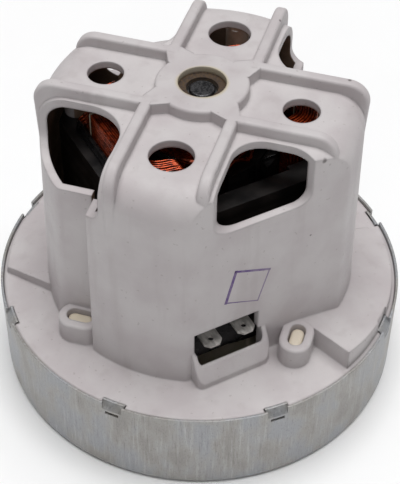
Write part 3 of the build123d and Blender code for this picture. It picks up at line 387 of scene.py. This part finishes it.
def thermoset_moulding(colours):
    """Glass-filled thermoset, compression moulded: matt, faintly mottled, brown with dust inside."""
    material, tree, shader, place = start_material("thermoset_moulding")
    mottle = noise(tree, place, 14.0, detail=4.0)
    flow = noise(tree, place, 5.0, stretch=(1, 1, 0.12), detail=3.0)
    fine = noise(tree, place, 0.8, detail=2.0)
    colour = blend_colours(tree, ramp(tree, mottle, 0.32, 0.70), linear(colours.housing),
                           linear(colours.housing_shade))
    # Faint upright flow lines of the moulding
    colour = blend_colours(tree, ramp(tree, flow, 0.52, 0.74, 0.0, 0.22), colour, linear("#a59c9c"))
    speck = ramp(tree, noise(tree, place, 1.1, detail=0.0), 0.80, 0.84, 0.0, 0.35)
    colour = blend_colours(tree, speck, colour, linear("#8d8480"))
    for point, radius in KNOCKS_MM:
        colour = blend_colours(tree, knock(tree, place, point, radius), colour, linear("#57504f"))
    inside, radius = inside_share(tree, place)
    # Warmth from the bearing has yellowed the rim of the shaft hole
    heat = ramp(tree, sums(tree, "ADD", radius, sums(tree, "MULTIPLY", mottle, 2 * MM)),
                8.2 * MM, 9.6 * MM, 0.6, 0.0)
    colour = blend_colours(tree, heat, colour, linear(colours.heat_tint))
    film = blend_colours(tree, ramp(tree, noise(tree, place, 9.0), 0.35, 0.65), linear(colours.dust),
                         linear(colours.dust_dark))
    colour = blend_colours(tree, inside, colour, film)
    tree.links.new(colour, shader.inputs["Base Color"])
    tree.links.new(ramp(tree, fine, 0.3, 0.7, 0.46, 0.6), shader.inputs["Roughness"])
    shader.inputs["IOR"].default_value = 1.52
    shader.inputs["Specular IOR Level"].default_value = 0.4
    relief(tree, shader, fine, 0.03, soft_edge_mm=1.1)
    return material


def galvanised_sheet(colours):
    """Hot-dip galvanised steel, deep drawn: dull zinc, drawn out into upright streaks."""
    material, tree, shader, place = start_material("galvanised_sheet")
    streak = noise(tree, place, 0.8, stretch=(1, 1, 0.07), detail=5.0, roughness=0.65)
    cloud = noise(tree, place, 11.0, stretch=(1, 1, 0.6), detail=5.0)
    fine = noise(tree, place, 0.35, stretch=(1, 1, 0.4), detail=3.0)
    colour = blend_colours(tree, ramp(tree, cloud, 0.40, 0.60), linear(colours.zinc_cool),
                           linear(colours.zinc_warm))
    colour = blend_colours(tree, 0.4, colour, linear(colours.zinc))
    colour = blend_colours(tree, ramp(tree, cloud, 0.50, 0.66, 0.0, 0.35), colour, linear("#7e7c7a"))
    colour = blend_colours(tree, ramp(tree, streak, 0.50, 0.72, 0.0, 0.45), colour, linear("#d2d2d2"))
    colour = blend_colours(tree, ramp(tree, streak, 0.30, 0.46, 0.45, 0.0), colour, linear("#6b6866"))
    colour = blend_colours(tree, ramp(tree, fine, 0.52, 0.72, 0.0, 0.3), colour, linear("#636262"))
    tree.links.new(colour, shader.inputs["Base Color"])
    shader.inputs["Metallic"].default_value = 0.75
    rough = ramp(tree, streak, 0.3, 0.7, 0.40, 0.6)
    tree.links.new(rough, shader.inputs["Roughness"])
    relief(tree, shader, sums(tree, "ADD", fine, streak), 0.04, soft_edge_mm=0.3)
    return material


def nylon_moulding(colours):
    """Nylon, injection moulded: cream, slightly glossy and translucent to the eye."""
    material, tree, shader, place = start_material("nylon_moulding")
    cloud = noise(tree, place, 9.0)
    colour = blend_colours(tree, ramp(tree, cloud, 0.3, 0.7), linear(colours.diffuser),
                           linear("#cfc3ad"))
    tree.links.new(colour, shader.inputs["Base Color"])
    tree.links.new(ramp(tree, cloud, 0.3, 0.7, 0.34, 0.46), shader.inputs["Roughness"])
    shader.inputs["IOR"].default_value = 1.53
    relief(tree, shader, noise(tree, place, 0.7), 0.015, soft_edge_mm=0.4)
    return material


def black_phenolic(colours):
    """Glass-filled phenolic moulding: black with a soft gloss on its edges."""
    material, tree, shader, place = start_material("black_phenolic")
    cloud = noise(tree, place, 3.0)
    colour = blend_colours(tree, ramp(tree, cloud, 0.35, 0.7), linear(colours.black), linear("#181617"))
    tree.links.new(colour, shader.inputs["Base Color"])
    tree.links.new(ramp(tree, cloud, 0.3, 0.7, 0.22, 0.36), shader.inputs["Roughness"])
    relief(tree, shader, noise(tree, place, 0.5), 0.015, soft_edge_mm=0.4)
    return material


def stamped_lamination():
    """Stamped electrical steel in a stack: black varnish over the lines of the sheets."""
    material, tree, shader, place = start_material("stamped_lamination")
    # Lines about 5 mm apart, as those of single sheets would be too fine to show
    lines = add(tree, "ShaderNodeTexWave", {
        "Vector": place, "Scale": wave_scale(0.8), "Distortion": 0.2},
        wave_type="BANDS", bands_direction="Z", wave_profile="SIN")
    cloud = noise(tree, place, 6.0)
    colour = blend_colours(tree, ramp(tree, cloud, 0.35, 0.7), linear("#171617"), linear("#2a2625"))
    colour = blend_colours(tree, ramp(tree, lines.outputs["Fac"], 0.1, 0.5, 0.6, 0.0), colour,
                           linear("#0b0a0a"))
    tree.links.new(colour, shader.inputs["Base Color"])
    shader.inputs["Metallic"].default_value = 0.3
    tree.links.new(ramp(tree, cloud, 0.3, 0.7, 0.34, 0.5), shader.inputs["Roughness"])
    relief(tree, shader, lines.outputs["Fac"], 0.05)
    return material


def metal(name, first, second, grain_mm, stretch, rough, depth_mm, soft_edge_mm=0.15, shine=1.0):
    """A metal with fine marks of its making, in two tones."""
    material, tree, shader, place = start_material(name)
    marks = noise(tree, place, grain_mm, stretch=stretch, detail=4.0)
    cloud = noise(tree, place, 5.0)
    both = sums(tree, "ADD", sums(tree, "MULTIPLY", marks, 0.6), sums(tree, "MULTIPLY", cloud, 0.4))
    colour = blend_colours(tree, ramp(tree, both, 0.38, 0.62), linear(first), linear(second))
    tree.links.new(colour, shader.inputs["Base Color"])
    shader.inputs["Metallic"].default_value = shine
    tree.links.new(ramp(tree, marks, 0.3, 0.7, rough - 0.06, rough + 0.08), shader.inputs["Roughness"])
    relief(tree, shader, marks, depth_mm, soft_edge_mm=soft_edge_mm)
    return material


def dull(name, first, second, grain_mm, rough, depth_mm):
    """A dull non-metal with a fine grain."""
    material, tree, shader, place = start_material(name)
    grain = noise(tree, place, grain_mm, detail=4.0)
    colour = blend_colours(tree, ramp(tree, grain, 0.35, 0.68), linear(first), linear(second))
    tree.links.new(colour, shader.inputs["Base Color"])
    tree.links.new(ramp(tree, grain, 0.3, 0.7, rough - 0.05, rough + 0.05), shader.inputs["Roughness"])
    relief(tree, shader, grain, depth_mm, soft_edge_mm=0.2)
    return material


def woven_sleeve():
    """Varnished glass-fibre sleeve: pale, with a diagonal weave about 3 mm apart."""
    material, tree, shader, place = start_material("woven_sleeve")
    cross = []
    for lean in (0.7, -0.7):
        turned = add(tree, "ShaderNodeMapping", {"Vector": place, "Rotation": (lean, lean, 0.0)})
        wave = add(tree, "ShaderNodeTexWave", {
            "Vector": turned.outputs["Vector"], "Scale": wave_scale(0.5), "Distortion": 0.4})
        cross.append(wave.outputs["Fac"])
    weave = sums(tree, "MULTIPLY", *cross)
    colour = blend_colours(tree, ramp(tree, weave, 0.1, 0.7), linear("#a79f90"), linear("#d5cebf"))
    tree.links.new(colour, shader.inputs["Base Color"])
    shader.inputs["Roughness"].default_value = 0.5
    relief(tree, shader, weave, 0.08)
    return material


def enamelled_copper(colours, name="enamelled_copper"):
    """Copper wire under polyester-imide enamel: reddish orange with a wet gloss."""
    material, tree, shader, place = start_material(name)
    tone = noise(tree, place, 1.3, detail=3.0)
    colour = blend_colours(tree, ramp(tree, tone, 0.34, 0.6), linear(colours.enamel_dark),
                           linear(colours.enamel))
    tree.links.new(colour, shader.inputs["Base Color"])
    shader.inputs["Metallic"].default_value = 0.82
    shader.inputs["Roughness"].default_value = 0.26
    shader.inputs["Coat Weight"].default_value = 0.6
    shader.inputs["Coat Roughness"].default_value = 0.15
    shader.inputs["Coat Tint"].default_value = linear("#e08a4a")
    relief(tree, shader, tone, 0.02)
    return material


def stamp_ink(colours):
    """Solvent ink from a rubber stamp, pressed hard at its upper left and hardly at its lower right."""
    material, tree, shader, place = start_material("stamp_ink")
    parts = add(tree, "ShaderNodeSeparateXYZ", {"Vector": place})
    slope = sums(tree, "SUBTRACT", parts.outputs["X"], sums(tree, "MULTIPLY", parts.outputs["Z"], 0.7))
    lift = ramp(tree, slope, -60.0 * MM, -42.0 * MM)
    press = ramp(tree, noise(tree, place, 1.4, detail=4.0), 0.36, 0.66, 0.0, 0.5)
    share = sums(tree, "MINIMUM", sums(tree, "ADD", lift, press), 1.0)
    colour = blend_colours(tree, share, linear(colours.ink), linear(colours.ink_thin))
    tree.links.new(colour, shader.inputs["Base Color"])
    shader.inputs["Roughness"].default_value = 0.6
    relief(tree, shader, press, 0.01)
    return material


def paint(node, material):
    """Gives one CAD piece its finish."""
    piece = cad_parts[node]
    piece.data.materials.clear()
    piece.data.materials.append(material)


def new_piece(name, mesh, material, body):
    """Links a finished mesh as a piece that rides on a body."""
    piece = bpy.data.objects.new(name, mesh)
    bpy.context.scene.collection.objects.link(piece)
    mesh.materials.clear()
    mesh.materials.append(material)
    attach(piece, body)
    return piece


def wires(name, runs, thickness, kind="POLY", closed=False):
    """One mesh of round wires along runs of points."""
    curve = bpy.data.curves.new(name, "CURVE")
    curve.dimensions = "3D"
    curve.bevel_depth = thickness / 2
    curve.bevel_resolution = 1
    curve.use_fill_caps = not closed
    curve.resolution_u = 3
    for points in runs:
        spline = curve.splines.new(kind)
        spline.points.add(len(points) - 1)
        if kind == "NURBS":
            spline.order_u = 4
        spline.use_cyclic_u = closed
        for point, place in zip(spline.points, points):
            point.co = (*place, 1.0)
    holder = bpy.data.objects.new(name, curve)
    mesh = bpy.data.meshes.new_from_object(holder)
    bpy.data.objects.remove(holder)
    bpy.data.curves.remove(curve)
    mesh.name = name
    for polygon in mesh.polygons:
        polygon.use_smooth = True
    return mesh


# Field windings
def turn_points(x_leg, y_leg, x_head, y_head, corner, stack_half, z_head):
    """The control points of one closed turn: legs in the slots, and a head bent outward at each end."""
    inner = corner * 0.45
    points = []
    for end in (1, -1):
        across = [
            (x_leg, -y_leg, stack_half - 3 * MM),
            (x_leg, -y_leg, z_head - 3 * MM),
            (x_leg + 0.5 * MM, -y_leg, z_head),
            (x_head - corner, -y_head, z_head),
            (x_head - inner, -y_head, z_head),
            (x_head, -y_head + inner, z_head),
            (x_head, -y_head + corner, z_head),
        ]
        back = [(x, -y, z) for x, y, z in reversed(across)]
        for x, y, z in across + back:
            points.append((x, y * end, z * end))
    return points


def winding_turns(wire, stack_half, chance):
    """The outer turns of one field winding, drawn for +X and about the middle of the stack."""
    plate_top = stack_half + FRAME_PLATE
    slack = wire * 0.18
    turns = []
    for row in range(FIELD_ROWS):
        rise = row / (FIELD_ROWS - 1)
        z_head = plate_top + wire * 0.6 + rise * (HEAD_RISE - wire)
        x_leg = SLOT_OUTER_X - rise * (SLOT_OUTER_X - SLOT_INNER_X)
        nearest = max(NECK_Y, math.sqrt(max(HORN_RADIUS ** 2 - x_leg ** 2, 0.0)) + wire / 2)
        for column in range(FIELD_COLUMNS):
            # Turns deep in the winding can't be seen
            deep_row = SEEN_DEPTH <= row < FIELD_ROWS - SEEN_DEPTH
            deep_column = SEEN_DEPTH <= column < FIELD_COLUMNS - SEEN_DEPTH
            if deep_row and deep_column:
                continue
            out = column / (FIELD_COLUMNS - 1)
            shake = [chance.uniform(-slack, slack) for _ in range(4)]
            turns.append(turn_points(
                x_leg + shake[0], nearest + out * (SLOT_OUTER_Y - nearest) + shake[1] / 2,
                HEAD_INNER_X + out * (HEAD_OUTER_X - HEAD_INNER_X) + shake[2],
                HEAD_INNER_Y + out * (HEAD_OUTER_Y - HEAD_INNER_Y),
                HEAD_CORNER + out * (HEAD_OUTER_Y - HEAD_INNER_Y),
                stack_half, z_head + shake[3]))
    return turns


class MOTOR_OT_field_windings(bpy.types.Operator):
    """Winds both field coils, turn by turn, with heads that are bent outward"""

    bl_idname = "motor.field_windings"
    bl_label = "Field windings"

    def execute(self, context):
        sizes = context.scene.motor_sizes
        material = enamelled_copper(context.scene.motor_colours)
        stack_low, stack_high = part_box("stator_core")
        middle_z = (stack_low.z + stack_high.z) / 2
        stack_half = (stack_high.z - stack_low.z) / 2
        for side, node, seed in FIELD_COILS:
            low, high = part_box(node)
            turns = winding_turns(sizes.field_wire, stack_half, random.Random(seed))
            runs = [[(side * x, y, middle_z + z) for x, y, z in points] for points in turns]
            mesh = wires("field_winding", runs, sizes.field_wire, kind="NURBS", closed=True)
            # Both ends of the wire hang down to the leads
            near_x = min(abs(low.x), abs(high.x)) + CAD_WIRE / 2
            far_x = max(abs(low.x), abs(high.x)) - CAD_WIRE / 2
            tail_y = high.y - CAD_WIRE / 2
            tails = [
                [(side * x, y, middle_z - stack_half), (side * x, y, low.z + 0.3 * MM)]
                for x, y in ((near_x, -tail_y), (far_x, tail_y))
            ]
            tail_mesh = wires("field_tails", tails, CAD_WIRE)
            whole = bmesh.new()
            whole.from_mesh(mesh)
            whole.from_mesh(tail_mesh)
            whole.to_mesh(mesh)
            whole.free()
            piece = new_piece(node.replace("coil", "winding"), mesh, material, FRAME_BODY)
            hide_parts(node)
        return {"FINISHED"}


def lacing_run(side, x_from, x_to, y, z_from, z_to, thickness):
    """A loop of lacing cord round the winding's head, drawn tight at its corners."""
    corner = thickness
    points = []
    for x, z, turn_angle in (
        (x_to, z_to, 0), (x_from, z_to, math.pi / 2),
        (x_from, z_from, math.pi), (x_to, z_from, 3 * math.pi / 2),
    ):
        for index in range(4):
            angle = turn_angle + index / 3 * math.pi / 2
            around_x = x + corner * (math.cos(angle) - 0.2)
            around_z = z + corner * (math.sin(angle) - 0.2)
            points.append((side * around_x, y, around_z))
    points.append(points[0])
    return points


class MOTOR_OT_lacing(bpy.types.Operator):
    """Ties the upper heads of the field windings with grey lacing cord"""

    bl_idname = "motor.lacing"
    bl_label = "Lacing"

    def execute(self, context):
        sizes = context.scene.motor_sizes
        material = dull("lacing_thread", "#a39a88", "#857c6b", 0.4, 0.6, 0.03)
        near_x = HEAD_INNER_X - sizes.field_wire / 2 - sizes.lacing * 0.6
        far_x = HEAD_OUTER_X + sizes.field_wire / 2 - sizes.lacing * 0.2
        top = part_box("stator_core")[1].z + FRAME_PLATE + HEAD_RISE + sizes.lacing * 0.4
        for side, node, _ in FIELD_COILS:
            # Two turns of cord lie side by side at each place
            runs = [
                lacing_run(side, near_x, far_x, y, top - LACING_DEPTH, top, sizes.lacing)
                for place in LACING_Y for y in (place, place + sizes.lacing)
            ]
            mesh = wires("lacing", runs, sizes.lacing)
            new_piece(node.replace("field_coil", "lacing"), mesh, material, FRAME_BODY)
        return {"FINISHED"}


# Armature winding
def head_strands(span, strands, start_radius, face_z, rise, outward, wire, seed):
    """Strands that leave one slot, arch round the shaft and go into another."""
    chance = random.Random(seed)
    runs = []
    for slot in range(ARMATURE_SLOTS):
        first = FULL_TURN * slot / ARMATURE_SLOTS
        for strand in range(strands):
            level = strand / strands
            reach = rise * (0.45 + 0.5 * level) - wire * chance.uniform(0, 0.6)
            inner = start_radius - (3.4 - 2.0 * level) * MM
            side_step = (strand % 3 - 1) * wire * 0.9
            points = []
            for index in range(HEAD_STEPS + 1):
                share = index / HEAD_STEPS
                lift = math.sin(math.pi * share) ** 0.7
                angle = first + FULL_TURN * span / ARMATURE_SLOTS * share + side_step / start_radius
                radius = start_radius + (inner - start_radius) * lift + chance.uniform(-0.1, 0.1) * wire
                height = face_z + outward * reach * lift
                points.append((radius * math.cos(angle), radius * math.sin(angle), height))
            runs.append(points)
    return runs


class MOTOR_OT_armature_winding(bpy.types.Operator):
    """Winds the armature: straight strands in its slots, and arched ones over its heads"""

    bl_idname = "motor.armature_winding"
    bl_label = "Armature winding"

    def execute(self, context):
        sizes = context.scene.motor_sizes
        low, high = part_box("armature_windings")
        stack_low, stack_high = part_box("armature_core")
        wire = sizes.armature_wire
        # Each end of the stack: its face, the end of the winding there, the way out and a seed
        ends = ((stack_high.z, high.z, 1, 3), (stack_low.z, low.z, -1, 5))
        runs = []
        for face_z, end_z, outward, seed in ends:
            rise = abs(end_z - face_z) - wire
            runs += head_strands(LONG_SPAN, LONG_STRANDS, SLOT_RADIUS, face_z, rise, outward, wire, seed)
            runs += head_strands(SHORT_SPAN, SHORT_STRANDS, high.x - wire, face_z, rise * SHORT_RISE,
                                 outward, wire, seed + 1)
        # In each slot a ring of strands lies round one in the middle
        for slot in range(ARMATURE_SLOTS):
            middle = FULL_TURN * slot / ARMATURE_SLOTS
            for strand in range(SLOT_STRANDS_RING + 1):
                around = FULL_TURN * strand / SLOT_STRANDS_RING
                reach = 0 if strand == SLOT_STRANDS_RING else SLOT_STRANDS_REACH
                x = SLOT_RADIUS + reach * math.cos(around)
                y = reach * math.sin(around)
                place = Matrix.Rotation(middle, 3, "Z") @ Vector((x, y, 0))
                runs.append([(place.x, place.y, stack_low.z), (place.x, place.y, stack_high.z)])
        mesh = wires("armature_winding", runs, wire)
        # A rounded ring under the strands of each head fills it
        core = bmesh.new()
        core.from_mesh(mesh)
        ring_radius = SLOT_RADIUS + RING_OVERLAP
        for face_z, end_z, _, _ in ends:
            middle = (face_z + end_z) / 2
            ring = bmesh.ops.create_cone(
                core, cap_ends=True, segments=44, radius1=ring_radius, radius2=ring_radius,
                depth=abs(end_z - face_z) * RING_SHARE,
                matrix=Matrix.Translation((0, 0, (middle + face_z) / 2)))
            edges = {edge for vertex in ring["verts"] for edge in vertex.link_edges}
            bmesh.ops.bevel(core, geom=[edge for edge in edges if edge.calc_face_angle(0) > 1],
                            offset=RING_ROUNDING, affect="EDGES", segments=3, profile=0.5, material=-1)
        core.to_mesh(mesh)
        core.free()
        material = enamelled_copper(context.scene.motor_colours, "varnished_winding")
        piece = new_piece("armature_strands", mesh, material, ROTOR_BODY)
        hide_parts("armature_windings")
        return {"FINISHED"}


# Ink mark
def on_front_face(x, z, depth):
    """A point that stands out from the front face, which leans back a little."""
    return Vector((x, -FLAT_OFFSET + (z - FLANGE_TOP) * FLAT_LEAN - depth, z))


def stroke(mesh, start, end, width, depth):
    """A flat stroke of ink between two points on the front face."""
    start, end = Vector(start), Vector(end)
    along = (end - start).normalized()
    across = Vector((-along.y, along.x)) * width / 2
    reach = along * width / 2
    corners = []
    for place, sign in ((start - reach, 1), (end + reach, 1), (end + reach, -1), (start - reach, -1)):
        corner = place + across * sign
        corners.append(mesh.verts.new(on_front_face(corner.x, corner.y, depth)))
    face = mesh.faces.new(corners)
    made = bmesh.ops.extrude_face_region(mesh, geom=[face])
    for element in made["geom"]:
        if isinstance(element, bmesh.types.BMVert):
            element.co += on_front_face(0, 0, -depth) - on_front_face(0, 0, depth)


class MOTOR_OT_ink_mark(bpy.types.Operator):
    """Stamps a plain slanted frame on the front face"""

    bl_idname = "motor.ink_mark"
    bl_label = "Ink mark"

    def execute(self, context):
        line = context.scene.motor_sizes.ink_line
        mesh = bmesh.new()
        corners = [(x * MM, z * MM) for x, z in INK_CORNERS_MM]
        # The left and upper lines came out thick, the others thin
        for start, end, share in zip(corners, corners[1:], INK_SHARES):
            stroke(mesh, start, end, line * share, INK_DEPTH)
        bmesh.ops.recalc_face_normals(mesh, faces=mesh.faces)
        data = bpy.data.meshes.new("ink_mark")
        mesh.to_mesh(data)
        mesh.free()
        material = stamp_ink(context.scene.motor_colours)
        new_piece("ink_mark", data, material, FRAME_BODY)
        return {"FINISHED"}


# Finishes of the CAD pieces
class MOTOR_OT_finishes(bpy.types.Operator):
    """Gives every carried-over piece the finish of its real material"""

    bl_idname = "motor.finishes"
    bl_label = "Finishes"

    def execute(self, context):
        colours = context.scene.motor_colours
        made = {
            "thermoset_moulding": thermoset_moulding(colours),
            "galvanised_sheet": galvanised_sheet(colours),
            "nylon_moulding": nylon_moulding(colours),
            "black_phenolic": black_phenolic(colours),
            "stamped_lamination": stamped_lamination(),
            "woven_sleeve": woven_sleeve(),
        }
        made.update((name, metal(name, *values)) for name, values in METALS.items())
        made.update((name, dull(name, *values)) for name, values in DULL.items())
        for finish, nodes in FINISHES.items():
            for node in nodes:
                paint(node, made[finish])
        return {"FINISHED"}


# Stage
def soft_sun(name, place, strength, spread):
    """White light from one side of the sky, as from a large soft box."""
    data = bpy.data.lights.new(name, "SUN")
    data.energy = strength
    data.angle = math.radians(spread)
    lamp = bpy.data.objects.new(name, data)
    bpy.context.scene.collection.objects.link(lamp)
    lamp.rotation_mode = "QUATERNION"
    lamp.rotation_quaternion = (-Vector(place)).to_track_quat("-Z", "Y")


class MOTOR_OT_stage(bpy.types.Operator):
    """Lays a pale floor and sets up soft light and the camera"""

    bl_idname = "motor.stage"
    bl_label = "Stage"

    def execute(self, context):
        studio = context.scene.motor_studio
        mesh = bmesh.new()
        bmesh.ops.create_circle(mesh, cap_ends=True, segments=96, radius=FLOOR_RADIUS)
        data = bpy.data.meshes.new("floor")
        mesh.to_mesh(data)
        mesh.free()
        floor = bpy.data.objects.new("floor", data)
        context.scene.collection.objects.link(floor)
        material, tree, shader, place = start_material("floor_paper")
        fibre = noise(tree, place, 40.0)
        tree.links.new(blend_colours(tree, fibre, linear("#f2f2f2"), linear("#efefef")),
                       shader.inputs["Base Color"])
        shader.inputs["Roughness"].default_value = 0.9
        data.materials.append(material)
        world = bpy.data.worlds.new("studio")
        world.use_nodes = True
        sky = world.node_tree.nodes["Background"]
        sky.inputs["Color"].default_value = linear("#f3f4f6")
        sky.inputs["Strength"].default_value = SKY_STRENGTH
        context.scene.world = world
        # Plain colours, without a film look
        context.scene.view_settings.view_transform = "Standard"
        for lamp in LAMPS:
            soft_sun(*lamp)
        camera_data = bpy.data.cameras.new("camera")
        camera_data.lens = studio.camera_lens
        camera_data.sensor_width = SENSOR_WIDTH
        camera_data.clip_start = 0.01
        camera = bpy.data.objects.new("camera", camera_data)
        context.scene.collection.objects.link(camera)
        turn = Matrix.Rotation(studio.camera_turn, 3, "Z")
        ahead = turn @ Vector((0, math.cos(studio.camera_pitch), -math.sin(studio.camera_pitch)))
        right = turn @ Vector((1, 0, 0))
        lean = Matrix.Rotation(-studio.camera_roll, 3, ahead)
        right = lean @ right
        up = right.cross(ahead)
        camera.rotation_mode = "QUATERNION"
        camera.rotation_quaternion = Matrix((right, up, -ahead)).transposed().to_quaternion()
        camera.location = turn @ Vector((0, -studio.camera_reach, 0))
        camera.location.z = studio.camera_height
        context.scene.camera = camera
        return {"FINISHED"}


class MOTOR_PT_panel(bpy.types.Panel):
    """Lists the pieces and their settings"""

    bl_idname = "MOTOR_PT_panel"
    bl_label = "Vacuum motor unit"
    bl_space_type = "VIEW_3D"
    bl_region_type = "UI"
    bl_category = "Motor"

    def draw(self, context):
        layout = self.layout
        scene = context.scene
        for group in (scene.motor_sizes, scene.motor_colours, scene.motor_studio):
            box = layout.box()
            for name in group.__annotations__:
                box.prop(group, name)
        for operator in OPERATORS:
            layout.operator(operator.bl_idname)


OPERATORS = (
    MOTOR_OT_finishes,
    MOTOR_OT_field_windings,
    MOTOR_OT_lacing,
    MOTOR_OT_armature_winding,
    MOTOR_OT_ink_mark,
    MOTOR_OT_stage,
)
CLASSES = (MotorColours, MotorSizes, MotorStudio, *OPERATORS, MOTOR_PT_panel)


def register():
    for made in CLASSES:
        bpy.utils.register_class(made)
    bpy.types.Scene.motor_colours = bpy.props.PointerProperty(type=MotorColours)
    bpy.types.Scene.motor_sizes = bpy.props.PointerProperty(type=MotorSizes)
    bpy.types.Scene.motor_studio = bpy.props.PointerProperty(type=MotorStudio)


def unregister():
    for name in ("motor_colours", "motor_sizes", "motor_studio"):
        delattr(bpy.types.Scene, name)
    for made in reversed(CLASSES):
        bpy.utils.unregister_class(made)


def main():
    register()
    bpy.ops.motor.finishes()
    bpy.ops.motor.field_windings()
    bpy.ops.motor.lacing()
    bpy.ops.motor.armature_winding()
    bpy.ops.motor.ink_mark()
    bpy.ops.motor.stage()


if __name__ == "__main__":
    main()
